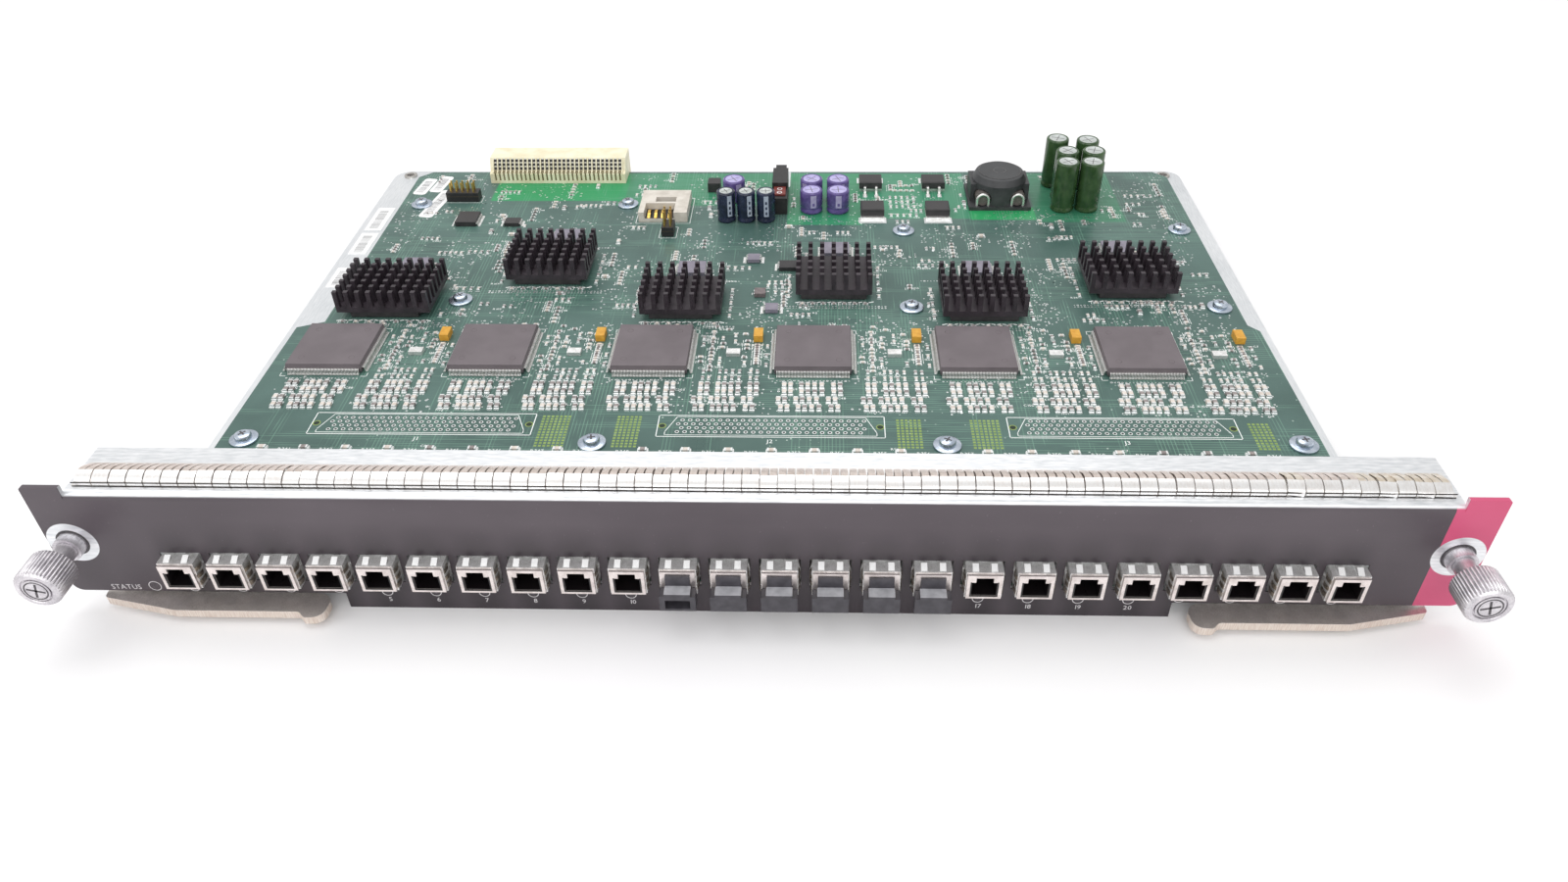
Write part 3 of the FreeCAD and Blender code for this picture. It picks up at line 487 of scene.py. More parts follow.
# reflowed solder: white highlights, small ripples
SOLDER = metal("reflowed solder", "tinned_wire", "ffffff", "e2e6e6", rough=(0.3, 0.5), grain_mm=0.3,
               depth_mm=0.01, blotch_mm=0.8)
# glazed alumina chip: brown grey
RESISTOR = plastic("chip resistor body", "chip_epoxy", "7f7776", "a39a97", rough=0.45, grain_mm=0.15,
                   depth_mm=0.006, blotch_mm=1.4)
# sintered ceramic chip: pale tan
CERAMIC = plastic("tan ceramic capacitor", "tantalum_case", "e2dad2", "c6bab0", rough=0.45, grain_mm=0.15,
                  depth_mm=0.006, blotch_mm=1.4)


def faceplate_paint():
    """Grey powder coat on the front only, a crimson band at the right end, and bare zinc round each screw."""
    material, add, shader, place = finish_named("grey powder coated steel", "panel_paint")
    x, y, z = (add("SeparateXYZ", [place], axis) for axis in range(3))
    orange_peel = speckle(add, place, 0.5, 2.0)
    smear = speckle(add, place, 26.0, 4.0, (2, 1, 1))
    dust = add("MapRange", [speckle(add, place, 0.9, 2.0), 0.7, 0.8])
    grey = patches(add, smear, 0.35, 0.7, "4a4248", "574f55")
    grey = add("Mix", {0: product(add, dust, 0.35), 6: grey, 7: colour("8d868c")}, 2, data_type="RGBA")
    # painted shade: darker towards the row of ports, most of all over each port, for the noses' shadow and
    # reflection in the satin coat
    over = add("MapRange", [z, height(11.0), height(24.0), 1.0, 0.0])
    beside = add("MapRange", [from_port_middle(add, x), 2.0 * MM, 6.6 * MM, 0.9, 0.5])
    off_middle = add("Math", [x], operation="ABSOLUTE")
    row_end = port_x(PORTS)
    row = add("MapRange", [off_middle, (row_end + 4) * MM, (row_end + 8) * MM, 1.0, 0.3])
    port_row_shade = product(add, over, beside, row)
    grey = add("Mix", {0: port_row_shade, 6: grey, 7: colour("2c262b")}, 2, data_type="RGBA")
    crimson = patches(add, smear, 0.3, 0.7, "c5476e", "d05b80")
    band = inside(add, x, BAND_X, PAST_THE_END, 0)
    paint = add("Mix", {0: band, 6: grey, 7: crimson}, 2, data_type="RGBA")
    # distance from each screw's axis, on the mirrored half
    dx = add("Math", [off_middle, SCREW_AXIS[0] * MM], operation="SUBTRACT")
    dz = add("Math", [z, height(SCREW_AXIS[1])], operation="SUBTRACT")
    squares = add("Math", [product(add, dx, dx), product(add, dz, dz)], operation="ADD")
    away = add("Math", [squares], operation="SQRT")
    round_screw = add("MapRange", [away, 6.9 * MM, 7.1 * MM])
    on_front = add("MapRange", [y, depth(0.25), depth(0.55), 1.0, 0.0])
    # the ears are dipped: painted over their edges as well
    ear = add("MapRange", [off_middle, 185.2 * MM, 185.4 * MM])
    on_edge = product(add, ear, add("MapRange", [y, depth(1.3), depth(1.5), 1.0, 0.0]))
    coated = add("Math", [on_front, on_edge], operation="MAXIMUM")
    painted = product(add, round_screw, coated)
    zinc = patches(add, speckle(add, place, 0.9, 4.0, (5, 1, 1)), 0.3, 0.7, "dadde0", "f7f8fa")
    feed(shader, {"Base Color": add("Mix", {0: painted, 6: zinc, 7: paint}, 2, data_type="RGBA"),
                  "Metallic": add("Math", [1.0, painted], operation="SUBTRACT"),
                  "Roughness": wear(add, smear, orange_peel, 0.2, 0.3, 0.9, 0.34, 0.5)})
    relief(add, shader, orange_peel, 0.012, 0.5)
    return material


def board_mask():
    """Green solder mask over a glass laminate: copper traces show through as paler lines, vias as dots."""
    material, add, shader, place = finish_named("green solder mask on glass laminate", "board_laminate")
    x, y, z = (add("SeparateXYZ", [place], axis) for axis in range(3))
    # the glass cloth under the mask: a weave of about 0.5 mm, drawn at 2.2 mm so that it shows
    waves = [add("TexWave", {"Vector": place, "Scale": 1 / (MM * 7.0)}, "Fac", bands_direction=direction)
             for direction in "XY"]
    weave = product(add, *waves)
    tone = speckle(add, place, 30.0, 4.0)
    mask = patches(add, tone, 0.35, 0.65, "405c56", "4e6c65")
    # copper pours under the mask: greener fields near the rear edge
    for x0, x1, y0, y1, code, strength in POURS:
        field = product(add, inside(add, x, x0, x1, 0, 0.4), inside(add, y, y0, y1, FRONT, 0.4), strength)
        mask = add("Mix", {0: field, 6: mask, 7: colour(code)}, 2, data_type="RGBA")
    # bundles of traces, drawn 0.36 mm wide and 1.2 mm apart so that they show: some along X, some along Y
    for direction, stretch, shift in (("X", (1, 9, 1), 0.0), ("Y", (9, 1, 1), 0.37)):
        lines = add("TexWave", {"Vector": place, "Scale": 1 / (MM * 7.0 * 1.1 / 2), "Distortion": 0.0,
                                "Phase Offset": shift}, "Fac", bands_direction=direction)
        bundle = add("MapRange", [speckle(add, place, 11.0, 2.0, stretch), 0.5, 0.56])
        breaks = add("MapRange", [speckle(add, place, 2.2, 1.0, stretch), 0.42, 0.5])
        drawn = product(add, add("MapRange", [lines, 0.72, 0.9]), bundle, breaks, 0.42)
        mask = add("Mix", {0: drawn, 6: mask, 7: colour("7ba893")}, 2, data_type="RGBA")
    # vias: tinned dots 0.7 mm across, at random in worked areas of the upper face
    spots = add("TexVoronoi", {"Vector": place, "Scale": 1 / (MM * 2.6), "Randomness": 0.9}, "Distance")
    dot = add("MapRange", [spots, 0.1, 0.15, 1.0, 0.0])
    worked = add("MapRange", [speckle(add, place, 17.0, 3.0), 0.5, 0.58])
    chance = add("SeparateXYZ", [spots.node.outputs["Color"]], 0)
    chosen = add("MapRange", [chance, 0.35, 0.4])
    upper = add("MapRange", [z, height(-0.1), height(-0.02)])
    vias = product(add, dot, worked, chosen, upper)
    mask = add("Mix", {0: product(add, vias, 0.75), 6: mask, 7: colour("c3d6cb")}, 2, data_type="RGBA")
    # the cut edge: bare laminate, paler and greener
    edge = add("MapRange", [z, height(-0.12), height(-0.04), 0.8, 0.0])
    mask = add("Mix", {0: edge, 6: mask, 7: colour("6fae87")}, 2, data_type="RGBA")
    feed(shader, {"Base Color": mask, "Roughness": wear(add, tone, weave, 0.15, 0.3, 0.8, 0.26, 0.42),
                  "IOR": 1.5})
    raised = add("Math", [weave, product(add, vias, 2.0)], operation="ADD")
    relief(add, shader, raised, 0.02, 0.35)
    return material


def nose_metal():
    """Satin nickel outside, with the black moulded insert showing inside each mouth."""
    material, add, shader, place = finish_named("satin nickel with black insert", "nickel_plate")
    x, y, z = (add("SeparateXYZ", [place], axis) for axis in range(3))
    grain = speckle(add, place, 0.3, 4.0)
    tone = mottle(add, grain, speckle(add, place, 2.5, 3.0), 0.4, 0.35, 0.65)
    nickel = patches(add, tone, 0.0, 1.0, "d9cfcb", "fdf4f1")
    wall = MOUTH[0] / 2
    in_x = add("MapRange", [from_port_middle(add, x), (wall + 0.1) * MM, (wall + 0.2) * MM, 1.0, 0.0])
    in_z = inside(add, z, 3.1, 10.2, BOARD_TOP, 0.05)
    in_y = add("MapRange", [y, depth(-4.5), depth(-4.2)])
    behind = add("MapRange", [y, depth(5.2), depth(5.4), 1.0, 0.0])
    hollow = product(add, product(add, in_x, in_z), product(add, in_y, behind))
    feed(shader, {"Base Color": add("Mix", {0: hollow, 6: nickel, 7: colour("161214")}, 2, data_type="RGBA"),
                  "Metallic": add("Math", [1.0, hollow], operation="SUBTRACT"),
                  "Roughness": add("MapRange", [tone, 0.0, 1.0, 0.44, 0.26])})
    relief(add, shader, grain, 0.005)
    return material


def plug_elastomer():
    """Dark elastomer, with painted sheen and some dust making the flat top of the thumb step pale."""
    material, add, shader, place = finish_named("dark moulded elastomer", "plug_rubber")
    grain = speckle(add, place, 0.2)
    blotch = speckle(add, place, 2.5, 5.0)
    # painted sheen: the flat top of the thumb step, facing up, is made pale, with some dust
    step = inside(add, add("SeparateXYZ", [place], 2), PLUG_STEP - 0.12, PLUG_STEP + 0.12, BOARD_TOP, 0.03)
    step_sheen_and_dust = patches(add, blotch, 0.3, 0.7, "97979c", "b4b4b9")
    dark = patches(add, blotch, 0.35, 0.7, "37353b", "49474d")
    feed(shader, {"Base Color": add("Mix", {0: step, 6: dark, 7: step_sheen_and_dust}, 2, data_type="RGBA"),
                  "Roughness": wear(add, blotch, grain, 0.3, 0.4, 0.9, 0.34, 0.5)})
    relief(add, shader, grain, 0.02)
    return material


def lever_metal():
    """Tumbled steel: mottled grey faces, with the sheared edge scored across, and painted paler and creamier
    as the bench lights it.
    """
    material, add, shader, place = finish_named("tumbled nickel plated steel", "lever_steel")
    grain = speckle(add, place, 0.35, 4.0)
    tone = mottle(add, grain, speckle(add, place, 4.0, 4.0), 0.4, 0.35, 0.65)
    face = patches(add, tone, 0.0, 1.0, "c4bcb8", "f3ede9")
    # painted highlight: the sheared edge is paler and warmer, as lit from the bench, over its real shear
    # marks
    shear = speckle(add, place, 0.3, 2.0, (1, 1, 12))
    edge = patches(add, shear, 0.35, 0.65, "dccdc2", "f1e8df")
    z = add("SeparateXYZ", [place], 2)
    lit_edge_share = add("MapRange", [z, (LEVER_TOP - 0.16) * MM, (LEVER_TOP - 0.06) * MM, 1.0, 0.0])
    feed(shader, {"Base Color": add("Mix", {0: lit_edge_share, 6: face, 7: edge}, 2, data_type="RGBA"),
                  "Roughness": add("MapRange", [tone, 0.0, 1.0, 0.62, 0.4]), "Metallic": 1.0})
    relief(add, shader, grain, 0.012)
    return material


def header_metal(name, base="242324", pins="e6c069", pins_from=2.5):
    """Black nylon below a height above the board, and the gold flashed pins above it."""
    material, add, shader, place = finish_named(name, "header_metal")
    z = add("SeparateXYZ", [place], 2)
    grain = speckle(add, place, 0.2)
    above = add("MapRange", [z, height(pins_from - 0.05), height(pins_from + 0.05)])
    worn = add("MapRange", [speckle(add, place, 2.0, 4.0), 0.35, 0.7, 0.85, 1.0])
    split = patches(add, above, 0.0, 1.0, base, pins)
    feed(shader, {"Base Color": add("HueSaturation", {"Color": split, "Value": worn}), "Metallic": above,
                  "Roughness": wear(add, above, grain, 0.2, 0.0, 1.2, 0.45, 0.28)})
    relief(add, shader, grain, 0.01)
    return material


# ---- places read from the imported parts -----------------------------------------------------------
knob_low, knob_high = cad("right_screw")
SCREW_AXIS = ((knob_low[0] + knob_high[0]) / 2, (knob_low[2] + knob_high[2]) / 2)
BAND_X = PANEL_HIGH[0] - 13.0    # the crimson band is 13 mm wide
PAST_THE_END = 400.0
bp_low, bp_high = cad("backplane_connector")
coil_low, coil_high = cad("inductor")
REAR = BOARD_HIGH[1]
# copper pours: x and y ranges, colour and how strongly it shows
POURS = ((bp_low[0] + 3.8, bp_high[0] + 1.7, REAR - 30.0, REAR - 4.0, "1d9a5c", 0.85),
         (bp_high[0] - 1.3, -2.8, REAR - 34.7, REAR - 1.5, "2f8f62", 0.7),
         (3.3, 36.0, REAR - 53.0, REAR - 1.5, "2f9564", 0.75),
         (36.0, coil_low[0], REAR - 47.0, REAR - 1.5, "35936a", 0.7),
         (coil_low[0], coil_high[0] + 1.5, REAR - 48.0, REAR - 36.0, "22a05c", 0.85),
         (coil_high[0] + 1.5, 150.0, REAR - 50.0, REAR - 1.5, "2d8a60", 0.6))
phy = [cad("phy_chip_%d" % (i + 1)) for i in range(BANKS)]
sinks = [cad("heat_sink_%d" % (i + 1)) for i in range(BANKS)]
PHY_PITCH = phy[1][0][0] - phy[0][0][0]

# ---- CAD nodes that keep their own shape ---------------------------------------------------------
LEVER_TOP = cad("left_lever")[1][2] + BOARD_TOP
PLUG_STEP = cad("dust_plug_12")[1][2] - 3.65
NOSE, LEVER_STEEL, RUBBER = nose_metal(), lever_metal(), plug_elastomer()
kept = {
    "faceplate": faceplate_paint(), "carrier_tray": ZINC, "tray_eyelets": EYELET,
    "circuit_board": board_mask(), "board_standoffs": SCREW_ZINC, "clinch_nuts": SCREW_ZINC,
    "nose_shields": SHIELD, "left_lever": LEVER_STEEL, "right_lever": LEVER_STEEL,
    "lever_rivets": SCREW_ZINC, "left_ferrule": KNOB_METAL, "right_ferrule": KNOB_METAL,
    "left_retaining_ring": SPRING_STEEL, "right_retaining_ring": SPRING_STEEL, "logic_chips": CHIP_BLACK,
    "memory_chips": CHIP_GREY, "power_connector": BLACK, "card_socket": IVORY,
    "tantalum_capacitors": TANTALUM, "oscillators": SHIELD, "interface_chips": CHIP_BLACK,
    "inductor_winding_ends": WINDING, "inductor": COIL,
    "backplane_connector": CREAM, "emi_gasket": SPRING, "board_screws": SCREW_ZINC,
    "bulk_capacitors": GREEN_SLEEVE, "input_capacitors": LILAC_SLEEVE, "filter_capacitors": NAVY_SLEEVE,
    "power_transistors": CHIP_BLACK,
    "debug_header": header_metal("black header with gold pins"),
    "jumper_header": header_metal("black header with gold pins, tall"),
    "left_screw": KNOB_METAL, "right_screw": KNOB_METAL,
}
for i in range(BANKS):
    kept["transceiver_bank_%d" % (i + 1)] = NOSE
    kept["phy_chip_%d" % (i + 1)] = EPOXY
    kept["heat_sink_%d" % (i + 1)] = SINK
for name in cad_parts:
    if name.startswith("dust_plug"):
        kept[name] = RUBBER
for name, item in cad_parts.items():
    item.data.materials.clear()
    item.data.materials.append(kept[name])

# ---- helpers for the pieces ----------------------------------------------------------------------
def solids(node):
    """The lowest and highest corner of each separate solid of a CAD node, in card millimetres."""
    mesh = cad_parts[node].data
    points = np.zeros(len(mesh.vertices) * 3)
    mesh.vertices.foreach_get("co", points)
    points = points.reshape(-1, 3) / MM - ORIGIN
    label = np.unique(np.round(points, 3), axis=0, return_inverse=True)[1].reshape(-1)
    ends = np.zeros(len(mesh.edges) * 2, int)
    mesh.edges.foreach_get("vertices", ends)
    a, b = label[ends[::2]], label[ends[1::2]]
    group = np.arange(label.max() + 1)
    while True:
        # each point takes the lowest group among its neighbours, until nothing changes
        low = np.minimum(group[a], group[b])
        lower = group.copy()
        np.minimum.at(lower, a, low)
        np.minimum.at(lower, b, low)
        lower = lower[lower]
        if (lower == group).all():
            break
        group = lower
    owner = group[label]
    found = [(points[owner == g].min(0), points[owner == g].max(0)) for g in np.unique(owner)]
    return sorted(found, key=lambda box: (round(float(box[0][0]), 1), round(float(box[0][1]), 1)))


def middle(box):
    """The middle of a box given by its lowest and highest corner."""
    return (box[0] + box[1]) / 2


def cells(x_places, y_places, z):
    """Every pairing of x and y places, at height z."""
    x, y = np.meshgrid(x_places, y_places, indexing="ij")
    return rows_of(x.ravel(), y.ravel(), z)


def flat(outline, z):
    """One face in the xy plane, facing up."""
    outline = np.asarray(outline, float)
    return rows_of(outline[:, 0], outline[:, 1], z), [np.arange(len(outline))[None]]


def line(x0, y0, x1, y1, width, z):
    """A printed stroke between two points."""
    along = np.array([x1 - x0, y1 - y0], float)
    along /= np.linalg.norm(along)
    side = np.array([-along[1], along[0]]) * width / 2
    a, b = np.array([x0, y0]) - along * width / 2, np.array([x1, y1]) + along * width / 2
    return flat([a - side, b - side, b + side, a + side], z)


def frame_lines(corners, width, z):
    """Printed strokes round a closed outline."""
    n = len(corners)
    return joined([line(*corners[i], *corners[(i + 1) % n], width, z) for i in range(n)])


def ring(r_in, r_out, z, n=12):
    """A flat ring facing up."""
    rim = np.concatenate([circle(0, 0, r_in, n), circle(0, 0, r_out, n)])
    i = np.arange(n)
    j = (i + 1) % n
    return rows_of(rim[:, 0], rim[:, 1], z), [np.column_stack([i, i + n, j + n, j])]


def swept(path, width, thick):
    """A flat strip bent along a (y, z) path, width across X, closed all round: each point is doubled by the
    strip's thickness square to the path."""
    path = np.asarray(path, float)
    along = np.gradient(path, axis=0)
    along /= np.linalg.norm(along, axis=1)[:, None]
    under = path - np.column_stack([-along[:, 1], along[:, 0]]) * thick
    outline = np.concatenate([path, under[::-1]])
    return prism(outline, -width / 2, width / 2, "yz")


BLOCK = moulded_block()
SHARP = moulded_block(0.03)

# ---- finger gasket: each finger's lip, crest and slotted back ------------------------------------
g_low, g_high = cad("emi_gasket")
g_y, g_z = g_low[1], g_low[2]
FINGER_PITCH = 4.75
STRIP_THICK = 0.22
CREST = (3.4, 3.2)              # the highest point, behind the lip's foot and above the fold
t = np.linspace(0, 1, 7)
# the back half falls as a shallow cosine from the crest to the folded top
back_path = np.column_stack([CREST[0] + t * 6.5, CREST[1] - 3.08 * (1 - np.cos(t * math.pi / 2)) ** 0.85])
front_path = [[0.12, 0.06], [0.06, 0.9], [0.12, 1.45], [0.35, 1.8],
              [1.2, 2.4], [2.1, 2.85], [2.8, 3.08], CREST]
lip = swept(front_path, FINGER_PITCH - 0.35, STRIP_THICK)
tongue = swept(back_path, FINGER_PITCH / 2 - 0.46, STRIP_THICK)
count = int((g_high[0] - g_low[0]) // FINGER_PITCH)
finger_x = (np.arange(count) - (count - 1) / 2) * FINGER_PITCH
squash = 1 - rng.random(count) ** 3 * 0.12
# the fingers at the right end are handled most: more of them are worn towards that end
settled = finger_x + rng.random(count) * 60 < 172
lean = rng.normal(0, 0.006, count)
for name, chosen in (("gasket", settled), ("gasket_worn", ~settled)):
    back_finish, taken = SPRING_BACK, ("emi_gasket",)
    if name == "gasket_worn":
        # bent, and tarnished to a pale champagne
        back_finish, taken = metal("tarnished tin plated copper", "spring_metal", "fff6ea", "d3c4ae",
                                   rough=(0.2, 0.45), grain_mm=0.6, stretch=(1, 5, 1), blotch_mm=2.2), ()
        squash[chosen] *= 1 - rng.random(chosen.sum()) * 0.3
        lean[chosen] = rng.normal(0, 0.05, chosen.sum())
    at = rows_of(finger_x[chosen], g_y, g_z)
    high = rows_of(np.ones(chosen.sum()), 1.0, squash[chosen])
    piece(name + "_fingers", repeat(lip, at, lean[chosen], high), SPRING, replaces=taken, smooth=50)
    tongues = [repeat(tongue, at + [side * FINGER_PITCH / 4, 0, 0], lean[chosen] + side * 0.004, high)
               for side in (-1, 1)]
    piece(name + "_tongues", joined(tongues), back_finish, smooth=50)
# the strip they are cut from, flat on the folded top
strip = prism(rectangle(g_y + 0.15, g_high[1] - 0.1, g_z, g_z + 0.16), g_low[0], g_high[0], "yz")
piece("gasket_strip", strip, SPRING)
# the folds along the lip's foot, in shadow: dark brown lines
FOLD = metal("shadowed fold in spring strip", "spring_metal", "38322e", "241f1c",
             rough=(0.4, 0.6), grain_mm=0.6, stretch=(9, 1, 1), depth_mm=0.006, blotch_mm=3.0)
for name, low_z, high_z in (("gasket_fold_low", 0.0, 0.2), ("gasket_fold", 1.1, 1.4)):
    face = rectangle(g_y, g_y + 0.12, g_z + low_z, g_z + high_z)
    piece(name, prism(face, g_low[0] + 0.4, g_high[0] - 0.4, "yz"), FOLD)

# ---- gull wing leads -----------------------------------------------------------------------------
gull = swept([[0.15, 2.0], [-0.35, 2.0], [-0.62, 1.8], [-0.82, 0.45], [-1.05, 0.22], [-1.7, 0.2]], 0.26, 0.16)
LEADS, LEAD_PITCH = 52, 0.5
along = (np.arange(LEADS) - (LEADS - 1) / 2) * LEAD_PITCH
shapes = []
for low, high in phy:
    centre, half = (low + high) / 2, (high[0] - low[0]) / 2
    local = np.column_stack([along, np.full(LEADS, -half)])
    for turn in range(4):
        a = turn * math.pi / 2
        c, s = math.cos(a), math.sin(a)
        at = rows_of(local @ [c, -s] + centre[0], local @ [s, c] + centre[1])
        shapes.append(repeat(gull, at, a))
piece("quad_pack_leads", joined(shapes), TIN)


def side_leads(left, right, along, stretch):
    """A row of gull wing leads down each side of a small chip, at the places along y."""
    return joined([repeat(gull, rows_of(np.full(len(along), x), along), side * math.pi / 2, stretch)
                   for side, x in ((-1, left), (1, right))])


memories = solids("memory_chips")
flat_chips = [box for box in solids("interface_chips") if box[1][2] < 3]
shapes = [side_leads(low[0], high[0], np.arange(low[1] + 0.6, high[1] - 0.3, pitch), stretch)
          for boxes, pitch, stretch in ((memories, 1.0, (1.6, 1.1, 0.75)), (flat_chips, 0.8, (1.5, 0.9, 0.6)))
          for low, high in boxes]
piece("small_chip_leads", joined(shapes), TIN)
# solder on the rows of pads under those leads
strips = [repeat(BLOCK, (x, middle((low, high))[1], 0.0), 0, (0.9, high[1] - low[1] - 0.6, 0.12))
          for low, high in memories + flat_chips for x in (low[0] - 1.35, high[0] + 1.35)]
piece("chip_pad_rows", joined(strips), SOLDER)
# ejector pin marks moulded in the quad packs' tops, 4.6 mm in from each edge
EPOXY_MARK = plastic("polished mould mark in epoxy", "chip_epoxy", "544b4e", "5d5457",
                     rough=0.3, grain_mm=0.12, depth_mm=0.004, blotch_mm=2.0)
marks = [repeat(ring(0.95, 1.12, 0.012, 20),
                cells((low[0] + 4.6, high[0] - 4.6), (low[1] + 4.6, high[1] - 4.6), high[2]))
         for low, high in phy]
piece("mould_marks", joined(marks), EPOXY_MARK)

# ---- cans: sleeve with its crimped neck, and the bare scored top ---------------------------------
def sleeve(r, h):
    """A sleeve shrunk over a can: rolled foot, a crimped neck near the foot, a lip over the top edge."""
    return [(0.02, 0.1), (r - 0.35, 0.1), (r - 0.02, 0.5), (r - 0.02, 1.3), (r - 0.45, 2.0), (r - 0.45, 2.4),
            (r - 0.02, 3.1), (r - 0.02, h - 1.0), (r - 0.12, h - 0.45), (r - 0.5, h - 0.1),
            (r - 1.0, h - 0.12), (r - 1.15, h - 0.4), (0.02, h - 0.45)]


def can_top(r, h):
    """The disc in the sleeve's lip: a raised bead round a flat middle."""
    return [(r - 1.12, h - 0.42), (r - 1.2, h - 0.2), (r - 1.6, h - 0.12),
            (r - 1.9, h - 0.24), (0.02, h - 0.24)]


def bent_patch(r, half_angle, columns, low, high):
    """A patch of a cylinder's wall: x = r cos a, y = r sin a, for a within half_angle each way."""
    a, z = np.meshgrid(np.linspace(-half_angle, half_angle, columns), [low, high], indexing="ij")
    return rows_of((r * np.cos(a)).ravel(), (r * np.sin(a)).ravel(), z.ravel()), [grid(columns, 2, flip=True)]


def stripe_ink(name, slot, main, worn):
    """Pale print on a sleeve, thin enough for the sleeve's gloss to show."""
    return plastic(name, slot, main, worn, rough=0.35, grain_mm=0.3, depth_mm=0.004, blotch_mm=2.0)


# coated can top: pale violet, glossy
LILAC_TOP = plastic("pale violet can top", "lilac_sleeve", "a79fd2", "bfb8e2",
                    rough=0.3, grain_mm=0.4, depth_mm=0.01, blotch_mm=2.0)
TALL = 20.0
for node, coat, top, stripe in (
        ("bulk_capacitors", GREEN_SLEEVE, CAN_TOP,
         stripe_ink("pale print on green sleeve", "green_sleeve", "8fae9c", "a9c2b2")),
        ("input_capacitors", LILAC_SLEEVE, LILAC_TOP,
         stripe_ink("pale print on violet can", "lilac_sleeve", "9d93bd", "b9b1d0")),
        ("filter_capacitors", NAVY_SLEEVE, CAN_TOP,
         stripe_ink("pale print on navy sleeve", "navy_sleeve", "9aa5b8", "bcc5d2"))):
    cans = solids(node)
    r, h = (cans[0][1][0] - cans[0][0][0]) / 2, cans[0][1][2]
    at = np.array([[*middle(can)[:2], 0] for can in cans])
    # stripes face the rear on the tall cans, the front on the others
    turns = rng.random(len(at)) * 1.4 + (0.9 if h > TALL else -2.4)
    piece(node + "_sleeves", repeat(turned(sleeve(r, h), 40), at), coat, replaces=(node,),
          smooth=40, weld=True)
    piece(node + "_tops", repeat(turned(can_top(r, h), 32), at), top, smooth=40, weld=True)
    # the score that lets the top vent, pressed as a cross
    arm = r - 2.2
    cross = joined([line(-arm, 0, arm, 0, 0.3, h - 0.225), line(0, -arm, 0, arm, 0.3, h - 0.22)])
    piece(node + "_scores", repeat(cross, at, turns), SPRING_STEEL)
    # the minus stripe down one side, a hair outside the sleeve, and its dashes outside that
    band = bent_patch(r - 0.01, 0.26, 7, 3.3, h - 1.1)
    piece(node + "_stripes", repeat(band, at, turns), stripe, smooth=60)
    dashes = [bent_patch(r, 0.1, 3, 4.2 + k * 2.4, 4.2 + k * 2.4 + 1.3) for k in range(int((h - 5.5) / 2.4))]
    piece(node + "_minus_marks", repeat(joined(dashes), at, turns), coat)

# ---- captive screws: knob, cross recess, threads -------------------------------------------------
# oily steel in the shade of a recess: brown black
DARK_RECESS = plastic("shadowed recess, oily steel", "screw_steel", "3a373a", "565257",
                      rough=0.5, grain_mm=0.3, depth_mm=0.01, blotch_mm=1.0)
KNURLS = 40
KNOB_R = 6.25
KNOB_FACE = -18.68              # the knob's front face, ahead of the panel
THREAD_R, THREAD_DEEP = 2.4, 0.32


def knurl(r, angle, h):
    """Straight ribs: the radius rises and falls KNURLS times round, only where the wall is at full size."""
    full = (r > 5.9) & (h > -17.9) & (h < -9.2)
    wave = np.abs(np.cos(angle * KNURLS / 2)) ** 0.6
    return np.where(full, r - 0.5 * (1 - wave), r)


knob_profile = [(0.02, -8.5), (4.6, -8.5), (5.2, -8.7), (5.85, -9.15), (KNOB_R, -9.5), (KNOB_R, -12.5),
                (KNOB_R, -15.2), (KNOB_R, -17.6), (5.85, -18.2), (5.3, KNOB_FACE), (4.3, -18.7),
                (4.15, -18.55), (4.1, -18.1), (3.75, -18.1), (3.7, -18.6),
                (3.55, KNOB_FACE), (0.02, KNOB_FACE)]
shaft_profile = [(0.02, 5.8), (THREAD_R, 5.8), (THREAD_R, 5.0), (1.9, 4.9), (1.9, 3.9), (2.9, 3.9),
                 (2.9, 3.0), (2.9, -8.6), (0.02, -8.6)]
turns_of_thread = [(THREAD_R - (THREAD_DEEP if k % 2 else 0.0), 11.4 - k * 0.4) for k in range(16)]
tail_profile = [(0.02, 11.4)] + turns_of_thread + [(0.02, 5.2)]
for side, name in ((-1, "left_screw"), (1, "right_screw")):
    axis = middle(cad(name)) * [1, 0, 1]
    knob = turned(knob_profile, KNURLS * 8, "y", knurl)
    piece(name + "_knob", moved(knob, axis), KNOB_METAL, body=name, replaces=(name,), smooth=35, weld=True)
    stem = joined([turned(shaft_profile[::-1], 32, "y"), turned(tail_profile[::-1], 28, "y")])
    piece(name + "_stem", moved(stem, axis), KNOB_METAL, body=name, smooth=30, weld=True)
    # a cross recess for a driver, its arms tilted as the knob was left
    bars = []
    for a in (0.25 * side, 0.25 * side + math.pi / 2):
        c, s = math.cos(a), math.sin(a)
        bar = rectangle(-2.5, 2.5, -0.32, 0.32) @ np.array([[c, s], [-s, c]])
        bars.append(prism(bar, KNOB_FACE - 0.015, -18.2, "xz"))
    # and the dark joint between the screw's own head and the knob
    joint = moved(upright(ring(2.85, 3.25, 0.0, 40)), (0, KNOB_FACE - 0.015, 0))
    piece(name + "_recess", moved(joined(bars + [joint]), axis), DARK_RECESS, body=name)
    # the clearance round the ferrule, dark against the bare metal
    gap = moved(upright(ring(3.92, 4.55, 0.0, 40)), axis, (0, -0.03, 0))
    piece(name.replace("screw", "ferrule") + "_clearance", gap, DARK_RECESS)

